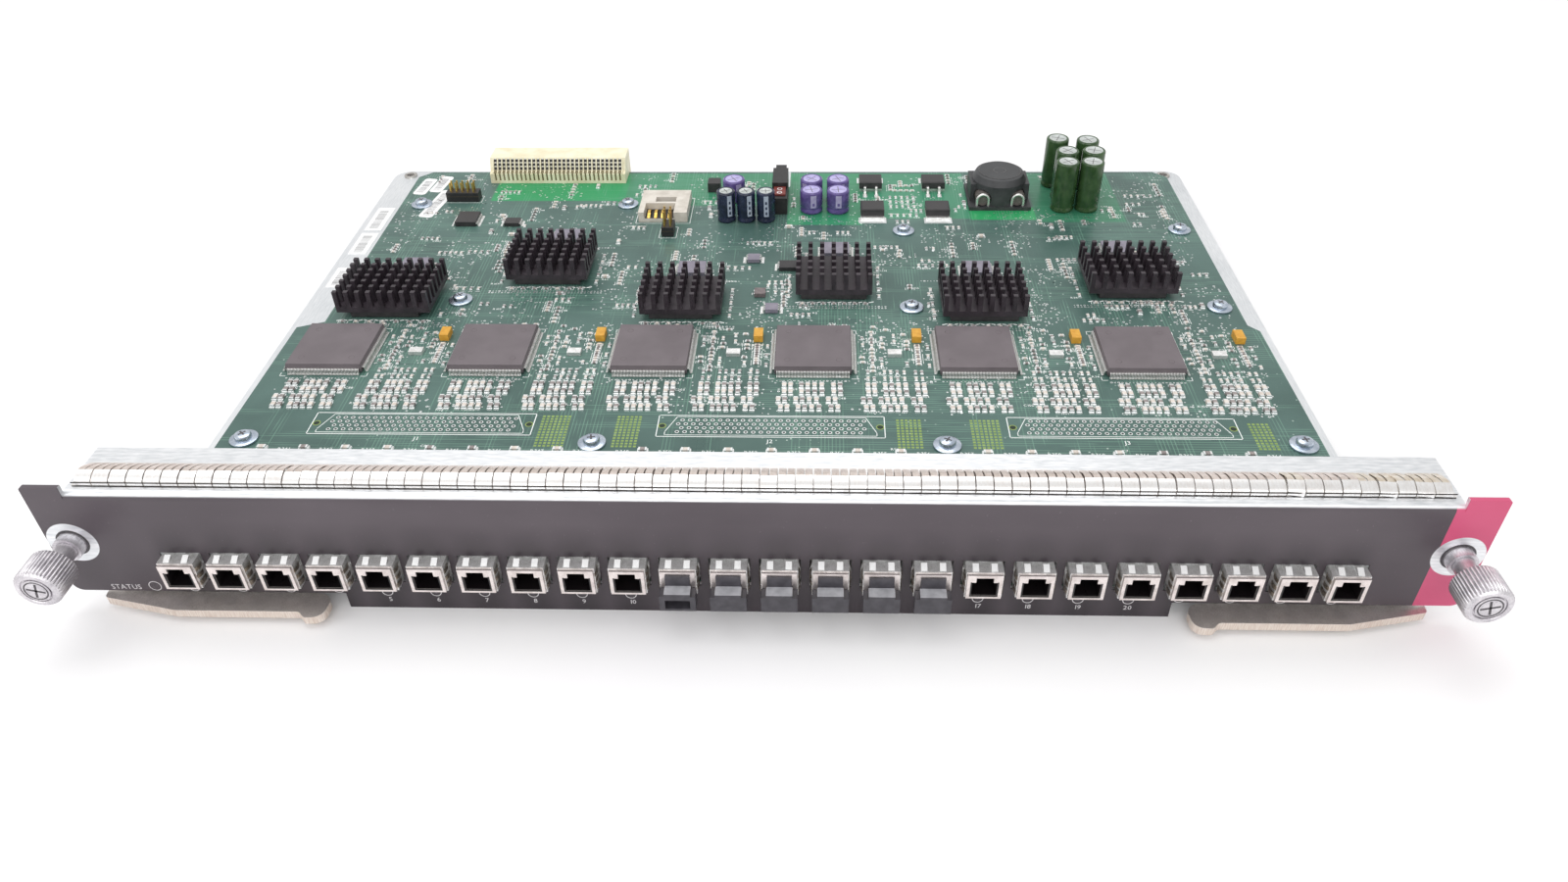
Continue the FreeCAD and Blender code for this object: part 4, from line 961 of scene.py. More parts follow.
# ---- board screws: captive washer, pan head, cross recess ----------------------------------------
screws = solids("board_screws")
at = np.array([[*middle(screw)[:2], 0] for screw in screws])
tip, head_top = screws[0][0][2], screws[0][1][2]
profile = [(0.02, tip), (1.1, tip), (1.45, tip + 0.5), (1.45, 0.02), (4.45, 0.02), (4.6, 0.14), (4.6, 0.72),
           (4.45, 0.82), (3.3, 0.82), (3.1, 0.9), (2.75, 0.92), (2.75, 1.9), (2.5, 2.4), (1.9, 2.72),
           (0.9, head_top), (0.02, head_top)]
piece("board_screw_heads", repeat(turned(profile, 36), at, rng.random(len(at)) * 3), SCREW_ZINC,
      replaces=("board_screws",), smooth=35, weld=True)
recess = joined([prism(rectangle(-1.3, 1.3, -0.3, 0.3), 1.6, head_top + 0.004),
                 prism(rectangle(-0.3, 0.3, -1.3, 1.3), 1.6, head_top + 0.003)])
piece("board_screw_recesses", repeat(recess, at, rng.random(len(at)) * 1.5), DARK_RECESS)

# ---- power transistors: black case, bright tab and legs ------------------------------------------
found = solids("power_transistors")
half_way = np.mean([middle(box)[1] for box in found])
leg = swept([[4.4, 2.6], [5.4, 2.6], [6.1, 2.4], [6.3, 0.8], [6.8, 0.45], [9.3, 0.42]], 0.95, 0.4)
cases, tabs, pads = [], [], []
for low, high in found:
    # the front pair's legs point to the rear, the rear pair's to the front
    way = 1 if middle((low, high))[1] < half_way else -1
    x, y = middle((low, high))[0], (low[1] + 6.2) if way > 0 else (high[1] - 6.2)
    cases.append(repeat(BLOCK, (x, y, 1.3), 0, (10.2, 9.0, 3.2)))
    tabs.append(repeat(SHARP, (x, y - way * 1.3, 0), 0, (10.2, 9.8, 1.3)))
    pads.append(repeat(BLOCK, (x, y - way * 6.3, 0.0), 0, (12.0, 5.2, 0.22)))
    for leg_x in (x - 2.54, x + 2.54):
        pads.append(repeat(BLOCK, (leg_x, y + way * 8.9, 0.0), 0, (1.9, 3.4, 0.2)))
        tabs.append(repeat(leg, (leg_x, y, 0), 0 if way > 0 else math.pi))
piece("transistor_cases", joined(cases), CHIP_BLACK, replaces=("power_transistors",))
piece("transistor_tabs", joined(tabs), TIN)
piece("transistor_solder_pads", joined(pads), SOLDER)

# ---- inductor: the wire ends that come down in its two windows -----------------------------------
low, high = coil_low, coil_high
coil = middle((low, high)) * [1, 1, 0]
a = np.linspace(0, math.pi, 15)
wires = []
for x in (coil[0] - 7.6, coil[0] + 7.6):
    # a half circle, bowed over 2.6 mm high, with a straight leg at each end
    arch = rows_of(x - 2.5 * np.cos(a), low[1] + 1.6, 4.2 + 2.6 * np.sin(a))
    feet = rows_of([x - 2.5, x + 2.5], low[1] + 1.6, 0.1)
    wires.append(tube(np.concatenate([feet[:1], arch, feet[1:]]), 0.62, 10))
piece("inductor_wires", joined(wires), TIN, smooth=60)
mould_lines = [moved(ring(9.0, 9.25, high[2] + 0.004, 48), coil),
               moved(ring(2.6, 2.8, high[2] + 0.004, 32), coil)]
piece("inductor_mould_rings", joined(mould_lines), SPRING_STEEL)

# ---- backplane connector: three rows of terminals between thin ribs ------------------------------
low, high = bp_low, bp_high
COLUMNS, COLUMN_PITCH = 30, 2.0
columns = rows_of(middle((low, high))[0] + (np.arange(COLUMNS) - (COLUMNS - 1) / 2) * COLUMN_PITCH)
between_columns = rows_of(middle((low, high))[0] + (np.arange(COLUMNS + 1) - COLUMNS / 2) * COLUMN_PITCH)
foot, crest = np.array([low[1] + 2.2, 5.2]), np.array([low[1] + 4.4, 10.6])
slope = crest - foot
out = np.array([-slope[1], slope[0]]) / np.linalg.norm(slope)


def on_slope(start, end, proud, sunk):
    """A four-sided outline on the connector's sloping front, from start to end of its length."""
    a, b = foot + slope * start, foot + slope * end
    return np.array([a + out * proud, b + out * proud, b - out * sunk, a - out * sunk])[::-1]


fin = prism([foot + out * 0.75, foot + slope * 0.5 + out * 0.7, foot + slope * 0.93 + out * 0.1,
             foot + slope * 0.97 - out * 0.1, foot - out * 0.1][::-1], -0.24, 0.24, "yz")
piece("backplane_ribs", repeat(fin, between_columns), CREAM)
# painted shade: black plates where the terminal pockets open in the sloping front
pocket_shades = [repeat(prism(on_slope(start, start + 0.23, 0.03, 0.2), -0.7, 0.7, "yz"), columns)
           for start in (0.06, 0.36, 0.66)]
piece("backplane_pocket_shade", joined(pocket_shades), BLACK)
# the shelf ahead of the rows, its contacts' tails in shadow, and the slots under it: olive brown
SHADE = plastic("shadowed terminal tails", "cream_plastic", "6d6448", "8a8160",
                rough=0.5, grain_mm=0.3, depth_mm=0.02, blotch_mm=0.8)
y0 = low[1]
shelf = prism([[y0 + 0.35, 4.62], [y0 + 2.2, 5.12], [y0 + 2.2, 5.3], [y0 + 0.35, 4.8]],
              low[0] + 1.2, high[0] - 1.2, "yz")
piece("backplane_shelf", shelf, SHADE)
step = prism([[y0 + 0.2, 4.5], [y0 + 2.3, 5.1], [y0 + 2.3, 5.9], [y0 + 0.2, 5.15]], -0.26, 0.26, "yz")
piece("backplane_shelf_ribs", repeat(step, between_columns), CREAM)
slot = prism(rectangle(y0 + 0.5, y0 + 0.95, 1.25, 4.5), -0.37, 0.37, "yz")
piece("backplane_slot_shadows", repeat(slot, columns), SHADE)
bright = prism(on_slope(0.0, 0.06, 0.06, 0.0), -0.3, 0.3, "yz")
terminals = [repeat(bright, columns + [0, slope[0] * q, slope[1] * q]) for q in (0.31, 0.6, 0.89)]
piece("backplane_terminals", joined(terminals), TIN)

# ---- soldered passives ---------------------------------------------------------------------------
def chip_part(length, width, tall):
    """A chip capacitor or resistor along X: its body, its two tinned ends, and solder on each pad."""
    body = repeat(SHARP, (0, 0, 0.03), 0, (length * 0.62, width, tall))
    ends = [repeat(BLOCK, (s * length * 0.4, 0, 0.03), 0, (length * 0.24, width * 1.04, tall * 1.06))
            for s in (-1, 1)]
    pads = [repeat(BLOCK, (s * length * 0.5, 0, 0.01), 0, (length * 0.3, width * 1.25, tall * 0.4))
            for s in (-1, 1)]
    return body, joined(ends + pads)


SMALL, LARGE = chip_part(1.75, 0.95, 0.55), chip_part(2.7, 1.5, 1.0)
ALONG_X, ALONG_Y = 0.0, math.pi / 2
PHY_MIDDLE = [middle(box) for box in phy]
GAP = PHY_PITCH / 2
bigger_parts = ("bulk_capacitors", "input_capacitors", "filter_capacitors", "power_transistors", "inductor",
                "board_screws", "debug_header", "jumper_header", "card_socket", "power_connector",
                "interface_chips", "memory_chips", "oscillators", "tantalum_capacitors",
                "backplane_connector")
keep_out = [(box[0] - 0.9, box[1] + 0.9) for node in bigger_parts for box in solids(node)]
keep_out += [(low - 2.2, high + 2.2) for low, high in phy]
keep_out += [(low - 1.4, high + 1.4) for low, high in sinks]


def free(x, y, reach=0.6):
    """True where a small part fits: on the board, off its notch, and clear of every bigger part."""
    narrow = y > 138.0
    ok = (x > np.where(narrow, -169.5, -179.0)) & (x < np.where(narrow, 175.5, 179.0))
    ok &= (y > 57.5) & (y < REAR - 2.5)
    ok &= ~((np.abs(x) < 6.5) & (y > REAR - 18.0))
    for low, high in keep_out:
        ok &= ~((x > low[0] - reach) & (x < high[0] + reach) & (y > low[1] - reach) & (y < high[1] + reach))
    return ok


small, large = [], []            # rows of x, y, turn
# four rows ahead of each quad pack and of each space between two, in pairs and fours
offsets = np.array([-10.0, -7.8, -4.0, -1.8, 0.6, 3.1, 7.2, 9.5])
for k in range(2 * BANKS):
    x0 = PHY_MIDDLE[0][0] + k * GAP
    for y, shift in ((98.2, 0.0), (94.2, 0.1), (89.6, -1.8), (85.2, -0.9)):
        large += [(x, y, ALONG_Y) for x in offsets + x0 + shift]
# columns and rows between the quad packs, then loose parts: x from the space's middle, y, turned or not
loose = ((-11.4, 113.0, 0), (-11.6, 116.0, 0), (-4.6, 111.5, 1), (-4.6, 114.8, 1), (4.4, 112.2, 1),
         (4.2, 115.9, 0), (4.9, 121.6, 0), (4.8, 124.0, 0), (5.0, 126.6, 0), (-4.2, 122.4, 0),
         (-4.0, 125.0, 0), (-4.3, 128.4, 1), (-11.2, 124.2, 1), (-11.4, 128.6, 1), (0.4, 126.2, 1),
         (0.3, 130.4, 1), (3.9, 131.3, 0), (-7.0, 136.4, 0), (-2.4, 134.4, 0), (12.3, 111.0, 1),
         (12.2, 117.0, 1), (12.4, 123.0, 1))
for box in PHY_MIDDLE:
    x0 = box[0] + GAP
    small += [(x0 + 8.6, y, ALONG_X) for y in np.arange(112.0, 125.0, 1.5)]
    small += [(x0 - 7.9, y, ALONG_X if (y * 10) % 3 < 2 else ALONG_Y) for y in np.arange(107.5, 135.0, 2.3)]
    small += [(x, y, ALONG_Y) for y in (102.8, 106.8) for x in offsets * 0.98 + x0]
    small += [(x0 + x, y, turn * ALONG_Y) for x, y, turn in loose]
# bypass capacitors along the rear of each quad pack
for box in PHY_MIDDLE:
    small += [(box[0] + x, 136.2 + (x > 5) * 1.1, ALONG_X) for x in (-10.5, -6.0, 1.5, 7.0, 11.5)]
# one row behind the faceplate, a part to each port
large += [(port_x(n) - 4.9, 61.8, ALONG_X) for n in range(1, PORTS + 1)]
# round each heat sink: rings of bypass capacitors close to its edge
for low, high in sinks:
    for s in range(7):
        x = low[0] + 2.5 + s * (high[0] - low[0] - 5) / 6
        small += [(x, low[1] - 2.6, ALONG_X), (x + 1.2, high[1] + 2.6, ALONG_X)]
    for s in range(5):
        y = low[1] + 3 + s * (high[1] - low[1] - 6) / 4
        small += [(low[0] - 2.9, y, ALONG_Y), (high[0] + 2.9, y, ALONG_Y)]
# loose groups over the rest: short runs of two to five, at random
for k in range(190):
    x, y = rng.uniform(-168, 172), rng.uniform(139, REAR - 6)
    turn = rng.integers(2) * ALONG_Y
    run, step = rng.integers(2, 6), rng.uniform(1.9, 3.0)
    small += [(x + (j * step if turn else 0), y + (0 if turn else j * step), turn) for j in range(run)]
for k in range(34):
    large.append((rng.uniform(-165, 170), rng.uniform(141, REAR - 8), rng.integers(2) * ALONG_Y))
# the supply parts between the power transistors
small += [(x, REAR - back, ALONG_Y if back > 25 else ALONG_X)
          for x in (49.0, 51.6, 54.2, 56.8, 59.4) for back in (36.0, 31.5, 27.0, 20.0, 15.0)]


def spaced(rows, apart):
    """Drops a part that would sit on one placed before it, or off the board."""
    rows = np.array(rows, float)
    rows = rows[free(rows[:, 0], rows[:, 1])]
    away = np.hypot(rows[:, None, 0] - rows[None, :, 0], rows[:, None, 1] - rows[None, :, 1])
    clash = np.triu(away < apart, 1)
    stays = np.ones(len(rows), bool)
    for k in range(len(rows)):
        if stays[k]:
            stays[clash[k]] = False
    return rows[stays]


large = spaced(large, 2.05)
small = spaced(small, 1.45)
away = np.hypot(small[:, None, 0] - large[None, :, 0], small[:, None, 1] - large[None, :, 1])
small = small[np.min(away, axis=1) > 2.1]
for name, rows, (body, ends) in (("small", small, SMALL), ("large", large, LARGE)):
    at = rows_of(rows[:, 0], rows[:, 1])
    tan = rng.random(len(rows)) < 0.55
    piece(name + "_ceramic_capacitors", repeat(body, at[tan], rows[tan, 2]), CERAMIC)
    piece(name + "_resistors", repeat(body, at[~tan], rows[~tan, 2]), RESISTOR)
    piece(name + "_soldered_ends", repeat(ends, at, rows[:, 2]), SOLDER)

# ---- printed legends, pads and vias --------------------------------------------------------------
INK_Z = 0.012
ink = []
# outlines of the three connectors that could be fitted: box, slanted shell, four staggered rows of holes
ring_at, hole_at = [], []
for x0, x1, y0, y1, label in ((-153.3, -77.9, 69.6, 81.3, "J1"), (-36.0, 39.8, 69.4, 81.0, "J2"),
                              (80.7, 156.0, 70.0, 81.0, "J3")):
    shell = [(x0 + 2.7, y0 + 0.9), (x1 - 2.7, y0 + 0.9), (x1 - 2.7, y0 + 2.6), (x1 - 6.2, y1 - 0.7),
             (x0 + 6.2, y1 - 0.7), (x0 + 2.7, y0 + 2.6)]
    mid = (x0 + x1) / 2
    ink += [frame_lines(rectangle(x0, x1, y0, y1), 0.3, INK_Z), frame_lines(shell, 0.24, INK_Z),
            moved(words(label, 1.9), (mid, y0 - 2.2, INK_Z))]
    for row in range(4):
        xs = mid + (np.arange(25) - 12 + (0.25 if row % 2 else -0.25)) * 2.54
        ring_at.append(rows_of(xs, y0 + 2.6 + row * 2.15))
    hole_at += [(x0 + 1.5, (y0 + y1) / 2, 0), (x1 - 1.5, (y0 + y1) / 2, 0)]
ring_at, hole_at = np.concatenate(ring_at), np.array(hole_at)
piece("connector_hole_rings", repeat(ring(0.45, 0.74, 0.02, 12), ring_at), SOLDER)
# the dark inside of a drilled hole
HOLE = plastic("shadow in a drilled hole", "board_laminate", "1c2a22", "27382e",
               rough=0.7, grain_mm=0.2, depth_mm=0.004, blotch_mm=1.0)
holes = [repeat(flat(circle(0, 0, 0.43, 12), 0.016), ring_at),
         repeat(flat(circle(0, 0, 1.05, 16), 0.016), hole_at)]
piece("connector_holes", joined(holes), HOLE)
# bare glass laminate: yellow-green
BARE = plastic("bare laminate ring", "board_laminate", "8aa04a", "9cae5c",
               rough=0.45, grain_mm=0.2, depth_mm=0.004, blotch_mm=1.0)
piece("connector_fixing_rings", repeat(ring(1.05, 1.35, 0.018, 16), hole_at), BARE)

# fields of small test pads under the solder mask, yellow-green: x and y ranges
PAD_STEP = 1.45
fields = ((-75.6, -66.0, 63.5, 80.0), (-50.1, -41.2, 63.5, 80.0), (43.7, 52.4, 64.0, 79.5),
          (68.2, 78.6, 64.0, 79.5), (159.7, 166.0, 64.5, 79.0))
at = np.concatenate([cells(np.arange(x0 + 0.5, x1, PAD_STEP), np.arange(y0 + 0.5, y1, PAD_STEP), 0)
                     for x0, x1, y0, y1 in fields])
FIELD = plastic("mask over bright copper", "board_laminate", "7f9a4c", "93ad5e",
                rough=0.35, grain_mm=0.2, depth_mm=0.006, blotch_mm=2.0)
piece("test_pad_fields", repeat(flat(rectangle(-0.47, 0.47, -0.47, 0.47), 0.01), at), FIELD)

# via pads, bright dots 0.5 to 0.9 mm across, thick in the worked areas, half of them on the 1.27 mm grid
HALF_GRID = 1.27
via = np.column_stack([rng.uniform(-175, 175, 9500), rng.uniform(60, REAR - 4, 9500)])
x, y = via.T
wave = np.sin(x * 0.19 + 1.3) + np.sin(y * 0.23 + x * 0.05) + np.sin(x * 0.071 - y * 0.11)
near_chips = (y > 100) & (y < 150)
via = via[((wave > 0.35) | (near_chips & (wave > -0.8))) & free(x, y, -0.4) & (y > 82)]
via[::2] = np.round(via[::2] / HALF_GRID) * HALF_GRID
via = via[free(via[:, 0], via[:, 1], -0.4)]
# and in orderly rows ahead of and behind the quad packs and the heat sinks
rows = [cells(np.arange(-12.7, 13, HALF_GRID) + box[0], (101.6, 134.9), 0)[:, :2] for box in PHY_MIDDLE]
for low, high in sinks:
    xs = np.arange(low[0] - 6, high[0] + 6, HALF_GRID)
    rows.append(cells(xs, (low[1] - 4.3, low[1] - 5.5, high[1] + 4.2), 0)[:, :2])
rows = np.concatenate(rows)
via = np.concatenate([via, rows[free(rows[:, 0], rows[:, 1], -1.0)]])
size = rng.choice([0.8, 1.1, 1.45], len(via), p=[0.5, 0.35, 0.15])
at, stretch = rows_of(via[:, 0], via[:, 1]), rows_of(size, size, 1.0)
piece("via_pads", repeat(ring(0.13, 0.34, 0.009, 8), at, 0.0, stretch), SOLDER)

# part marks beside the passives, in plain letters and numbers
marks = ["C12", "R34", "C7", "R105", "C48", "L3", "R9", "C203", "U14", "R61", "C88", "C150"]
beside = np.concatenate([small[rng.random(len(small)) < 0.34], large[rng.random(len(large)) < 0.22]])
chosen = rng.integers(0, len(marks), len(beside))
shift = np.column_stack([rng.choice([-2.3, 2.3, 0.0], len(beside)), rng.choice([-1.7, 1.7], len(beside))])
where = beside[:, :2] + shift
ok = free(where[:, 0], where[:, 1], 0.9)
for k, mark in enumerate(marks):
    pick = where[(chosen == k) & ok]
    if len(pick):
        ink.append(repeat(moved(words(mark, 1.15), (0, 0, INK_Z)), rows_of(pick[:, 0], pick[:, 1])))
ink += [moved(words("R%d" % (340 + n), 1.4), (port_x(n) + 2.4, 61.4, INK_Z)) for n in range(1, PORTS + 1)]
# corner ticks round small parts, and outlines of the chips
ticked = np.concatenate([small[rng.random(len(small)) < 0.5], large])
for x in (-1.75, 1.75):
    tick = line(x, -0.75, x, 0.75, 0.2, INK_Z)
    ink.append(repeat(tick, rows_of(ticked[:, 0], ticked[:, 1]), ticked[:, 2]))
for low, high in phy:
    for x, run in ((low[0] - 1.9, 2.0), (high[0] + 1.9, -2.0)):
        for y, rise in ((low[1] - 1.9, 2.0), (high[1] + 1.9, -2.0)):
            ink += [line(x, y, x + run, y, 0.22, INK_Z), line(x, y, x, y + rise, 0.22, INK_Z)]
# a zigzag ahead of each heat sink
for low, high in sinks:
    for k, x in enumerate(np.arange(low[0], high[0], 2.0)):
        dip = (k % 2) * 0.7
        ink.append(line(x, low[1] - 1.6 + dip, x + 2.0, low[1] - 0.9 - dip, 0.55, INK_Z))
for node, gap in (("debug_header", 0.9), ("jumper_header", 1.1), ("card_socket", 1.2)):
    for low, high in solids(node):
        outline = rectangle(low[0] - gap, high[0] + gap, low[1] - gap, high[1] + gap)
        ink.append(frame_lines(outline, 0.25, INK_Z))
piece("printed_legends", joined(ink), INK_WHITE)

# ---- paper labels: white, with plain bars --------------------------------------------------------
def rounded(cx, cy, w, d, r, turn=0.0):
    """Outline of a rectangle with round corners, turned about its middle."""
    corner = np.linspace(0, math.pi / 2, 5)
    points = []
    for k, (sx, sy) in enumerate(((1, 1), (-1, 1), (-1, -1), (1, -1))):
        a = corner + k * math.pi / 2
        points.append(np.column_stack([sx * (w / 2 - r) + r * np.cos(a), sy * (d / 2 - r) + r * np.sin(a)]))
    c, s = math.cos(turn), math.sin(turn)
    return np.concatenate(points) @ np.array([[c, s], [-s, c]]) + [cx, cy]


paper, bars = [], []
for cx, cy, w, d, turn in ((-165.6, REAR - 15.6, 6.2, 16.5, -0.12), (-158.6, REAR - 13.2, 6.0, 16.5, -0.14),
                           (-155.3, REAR - 33.0, 6.6, 27.0, -0.16)):
    paper.append(prism(rounded(cx, cy, w, d, 1.6, turn), 0.01, 0.12))
    for k in range(int(d * 1.1)):
        v = -d / 2 + 2.0 + k * (d - 4.0) / (d * 1.1)
        at = (cx - math.sin(turn) * v, cy + math.cos(turn) * v, 0)
        bars.append(repeat(line(-w * 0.28, 0, w * 0.22, 0, rng.uniform(0.1, 0.34), 0.13), at, turn))
# three more on the tray's left rim, below the board
RIM_LABEL_X, RIM_LABEL_Z = -178.4, -2.3
for y0, y1 in ((196.0, 215.0), (217.5, 239.0), (168.5, 184.5)):
    outline = rectangle(RIM_LABEL_X - 4.2, RIM_LABEL_X + 3.4, y0, y1)
    paper.append(prism(outline, RIM_LABEL_Z - 0.09, RIM_LABEL_Z))
    lines = (y1 - y0) * 0.9
    for k in range(int(lines)):
        y = y0 + 2 + k * (y1 - y0 - 4) / lines
        bar = rng.uniform(0.12, 0.4)
        bars.append(line(RIM_LABEL_X - 2.4, y, RIM_LABEL_X + 1.2, y, bar, RIM_LABEL_Z + 0.02))
piece("paper_labels", joined(paper), PAPER)
piece("label_bars", joined(bars), LABEL_INK)

# ---- faceplate print and light windows -----------------------------------------------------------
# screen print on powder coat: pale grey
PANEL_INK = plastic("pale grey screen print", "panel_paint", "d9d6d8", "c9c6c8",
                    rough=0.5, grain_mm=0.1, depth_mm=0.003, blotch_mm=2.0)
# the polished end of a light pipe, unlit: dark and glossy
LENS = plastic("clear light pipe end", "black_plastic", "4c474c", "5c575c",
               rough=0.2, grain_mm=0.3, depth_mm=0.004, blotch_mm=1.0)


def on_panel(shape, x, z, proud=0.02):
    """Stands a flat shape on the faceplate's front."""
    return moved(upright(shape), (x, -proud, z))


printed, lenses = [], []
for n in range(1, PORTS + 1):
    x = port_x(n) - 0.5
    # near the ends, over the levers, the ring sits higher and the number is hidden, so none is printed
    clear_of_lever = abs(x) < 114
    z = -2.5 if clear_of_lever else -1.6
    printed.append(on_panel(ring(1.4, 1.62, 0.0, 24), x, z))
    lenses.append(on_panel(flat(circle(0, 0, 0.75, 16), 0.0), x, z, 0.015))
    if clear_of_lever:
        printed.append(on_panel(words(str(n), 1.6), x + 0.3, -5.5))
printed.append(on_panel(ring(1.6, 1.85, 0.0, 28), -171.9, -1.3))
lenses.append(on_panel(flat(circle(0, 0, 0.9, 16), 0.0), -171.9, -1.3, 0.015))
letters, groups = words("STATUS", 1.9)
printed.append(on_panel((letters * [0.86, 1, 1], groups), -180.4, -1.7))
piece("panel_print", joined(printed), PANEL_INK)
piece("light_windows", joined(lenses), LENS)

# ---- spring fingers and leaves round each nose ---------------------------------------------------
NOSE_TOP = 11.05
finger = prism([(-3.4, NOSE_TOP + 0.26), (-1.3, NOSE_TOP + 1.3), (-1.3, NOSE_TOP + 1.42),
                (-3.4, NOSE_TOP + 0.38)], -0.85, 0.85, "yz")
bend = np.linspace(-1, 1, 7)
plates, leaves = [], []
for n in range(1, PORTS + 1):
    for side in (-1, 1):
        plates.append(repeat(finger, (port_x(n) + side * 2.55, 0, 0)))
        # leaves bow outwards from the collar's side: x = foot + bow (1 - s^2), s running from front to back
        for z, wide in ((4.0, 1.5), (6.6, 1.3), (9.0, 1.2)):
            bow = 5.15 + (0.35 + 0.3 * rng.random()) * (1 - bend ** 2)
            y = -2.0 + bend * 1.75 + rng.normal(0, 0.1)
            leaf = np.concatenate([np.column_stack([bow, y]), np.column_stack([bow - 0.14, y])[::-1]])
            verts, groups = prism(leaf, z - wide / 2, z + wide / 2)
            if side < 0:
                verts, groups = verts * [-1, 1, 1], [g[:, ::-1] for g in groups]
            leaves.append(moved((verts, groups), (port_x(n), 0, 0)))
piece("nose_finger_pads", joined(plates), BRIGHT_NICKEL)
# painted shade on the spring leaves round the noses: grey brown with bright patches
SHADED_LEAF = metal("spring leaf with painted shade", "spring_metal", "d2c8ba", "6f675f",
             grain_mm=0.25, stretch=(1, 1, 3), depth_mm=0.008, blotch_mm=1.0)
piece("nose_side_leaves", joined(leaves), SHADED_LEAF, smooth=50)
# painted shade: a thin dark line at the sides and the foot of each open mouth, on the nose's front
PLUGGED = range(11, 17)
half, sill = MOUTH[0] / 2, 3.325
top = sill + MOUTH[1]
edges = [prism(rectangle(x0, x1, sill - 0.3, high), -0.01, 0.01)
         for x0, x1, high in ((-half - 0.42, -half, top + 0.12), (half, half + 0.42, top + 0.12),
                              (-half, half, sill))]
open_at = [(port_x(n), -4.72, 0) for n in range(1, PORTS + 1) if n not in PLUGGED]
piece("nose_mouth_shade_rims", repeat(upright(joined(edges)), open_at), BLACK)

# ---- power connector: the red insert with its two bright contacts --------------------------------
low, high = cad("power_connector")
x, y = middle((low, high))[0], low[1]
# moulded insert: red brown, satin
RED = plastic("red brown moulded insert", "black_plastic", "6e2a26", "87423b",
              rough=0.4, grain_mm=0.2, depth_mm=0.01, blotch_mm=2.0)
piece("power_connector_insert", prism(rectangle(x - 2.6, x + 2.6, y + 2.6, y + 10.4), 7.5, 8.3), RED)
eyes = rows_of([x, x], [y + 4.6, y + 8.2])
piece("power_connector_contacts", repeat(ring(0.75, 1.15, 8.32, 20), eyes), BRIGHT_NICKEL)

# ---- the taller black housings the header pins stand in ------------------------------------------
for node in ("debug_header", "jumper_header"):
    low, high = cad(node)
    at = middle((low, high)) * [1, 1, 0] + [0, 0, 0.3]
    width, deep = high[0] - low[0] - 0.02, high[1] - low[1] - 0.02
    piece(node + "_housing", repeat(SHARP, at, 0, (width, deep, 4.0)), BLACK)

# ---- card socket: its dark throat and four gold spring contacts ----------------------------------
low, high = cad("card_socket")
x0, x1, y0 = low[0], high[0] - 6.0, low[1]
# painted shade: a thin black sheet over the socket's open throat and slit
throat = prism(rectangle(x0 + 2.7, x1, y0 + 0.3, y0 + 8.8), 1.55, 1.75)
slit = prism(rectangle(x0 + 6.7, x1, y0 + 10.7, y0 + 14.8), 1.55, 1.75)
piece("socket_throat_shade", joined([throat, slit]), BLACK)
contact = swept([[0.4, 1.8], [3.0, 2.9], [5.0, 3.3], [6.6, 2.6], [8.4, 1.9]], 1.2, 0.2)
piece("socket_contacts", repeat(contact, rows_of(x0 + 4.4 + np.arange(4) * 3.0, y0)), GOLD)

# ---- three small chips between heat sinks 3 and 4 ------------------------------------------------
bodies, legs, pads = [], [], []
for x, y in ((-9.4, 187.4), (-0.6, 148.6)):
    bodies.append(repeat(SHARP, (x, y, 0.2), 0, (4.9, 5.0, 1.6)))
    legs.append(side_leads(x - 2.45, x + 2.45, np.arange(-1.9, 2.0, 1.27) + y, (1.9, 0.9, 0.7)))
    pads.append(repeat(BLOCK, rows_of([x - 3.7, x + 3.7], y), 0, (1.3, 5.0, 0.14)))
piece("driver_chips", joined(bodies), CHIP_GREY)
piece("driver_chip_leads", joined(legs), TIN)
piece("driver_chip_pads", joined(pads), SOLDER)
# glazed ceramic package: brown grey and smooth
BROWN = plastic("brown glazed ceramic package", "chip_epoxy", "6b6062", "7f7474",
                rough=0.3, grain_mm=0.2, depth_mm=0.008, blotch_mm=1.5)
piece("clock_chip", repeat(SHARP, (-5.6, 160.2, 0.1), 0, (4.4, 4.6, 1.7)), BROWN)

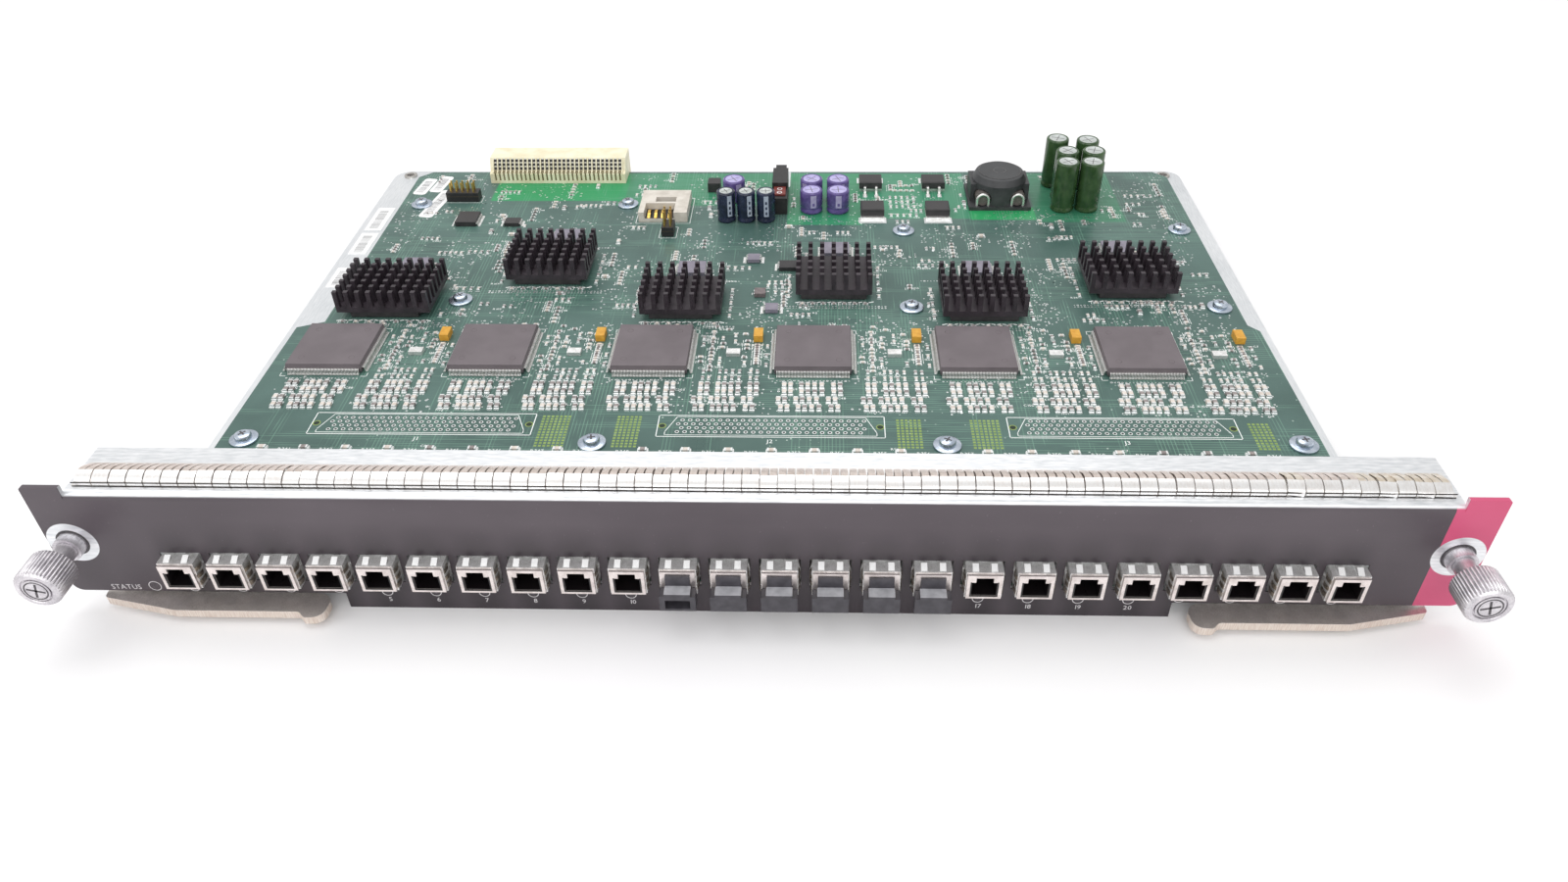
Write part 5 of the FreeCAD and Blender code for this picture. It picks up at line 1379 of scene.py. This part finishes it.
# ---- floor, light and camera ---------------------------------------------------------------------
def studio():
    """A pale bench, an even white surround, a wide lamp above, a smaller one at the left, a fill in front."""
    bench = bpy.data.materials.new("pale bench top")
    bench.use_nodes = True
    add = functools.partial(add_node, bench.node_tree)
    tone = speckle(add, add("TexCoord", out="Object"), 120.0, 3.0)
    feed(bench.node_tree.nodes["Principled BSDF"],
         {"Base Color": patches(add, tone, 0.3, 0.7, "f2f1f3", "f7f7f7"), "Roughness": 0.75})
    mesh = bpy.data.meshes.new("bench")
    mesh.from_pydata([(-30, -30, 0), (30, -30, 0), (30, 30, 0), (-30, 30, 0)], [], [(0, 1, 2, 3)])
    mesh.materials.append(bench)
    bench_top = bpy.data.objects.new("bench", mesh)
    bpy.context.scene.collection.objects.link(bench_top)

    world = bpy.data.worlds.new("even white surround")
    world.use_nodes = True
    feed(world.node_tree.nodes["Background"], {"Color": (1.0, 0.995, 0.99, 1), "Strength": 0.8})
    bpy.context.scene.world = world

    for name, place, aim, size, watts in (("softbox", (-0.25, 0.45, 1.5), (0, 0, 0), (1.6, 0.9), 9.0),
                                          ("side lamp", (-1.2, -0.7, 0.9), (0, -0.05, 0), (0.7, 0.7), 3.0),
                                          ("front fill", (0.1, -1.3, 1.0), (0, -0.15, 0), (1.4, 0.6), 7.0)):
        lamp = bpy.data.lights.new(name, "AREA")
        lamp.shape = "RECTANGLE"
        lamp.size, lamp.size_y = size
        lamp.energy = watts
        lit = bpy.data.objects.new(name, lamp)
        lit.location = place
        lit.rotation_euler = (Vector(aim) - Vector(place)).to_track_quat("-Z", "Y").to_euler()
        bpy.context.scene.collection.objects.link(lit)


def stand_camera(place, yaw, pitch, roll, lens):
    """Looks from place: yaw to the right of +Y, pitch below the horizon, roll about the view, in degrees."""
    yaw, pitch, roll = (math.radians(a) for a in (yaw, pitch, roll))
    ahead = Vector((math.sin(yaw) * math.cos(pitch), math.cos(yaw) * math.cos(pitch), -math.sin(pitch)))
    right = Vector((math.cos(yaw), -math.sin(yaw), 0))
    up = right.cross(ahead)
    across = right * math.cos(roll) + up * math.sin(roll)
    upward = up * math.cos(roll) - right * math.sin(roll)
    lens_data = bpy.data.cameras.new("camera")
    lens_data.lens = lens
    lens_data.sensor_width = 36
    eye = bpy.data.objects.new("camera", lens_data)
    turn = Matrix((across, upward, -ahead)).transposed()
    eye.matrix_world = Matrix.Translation(place) @ turn.to_4x4()
    bpy.context.scene.collection.objects.link(eye)
    bpy.context.scene.camera = eye
    bpy.context.scene.view_settings.view_transform = "Standard"


studio()
stand_camera((0.01819, -0.35095, 0.2374), -2.312, 38.304, -1.016, 25.79)
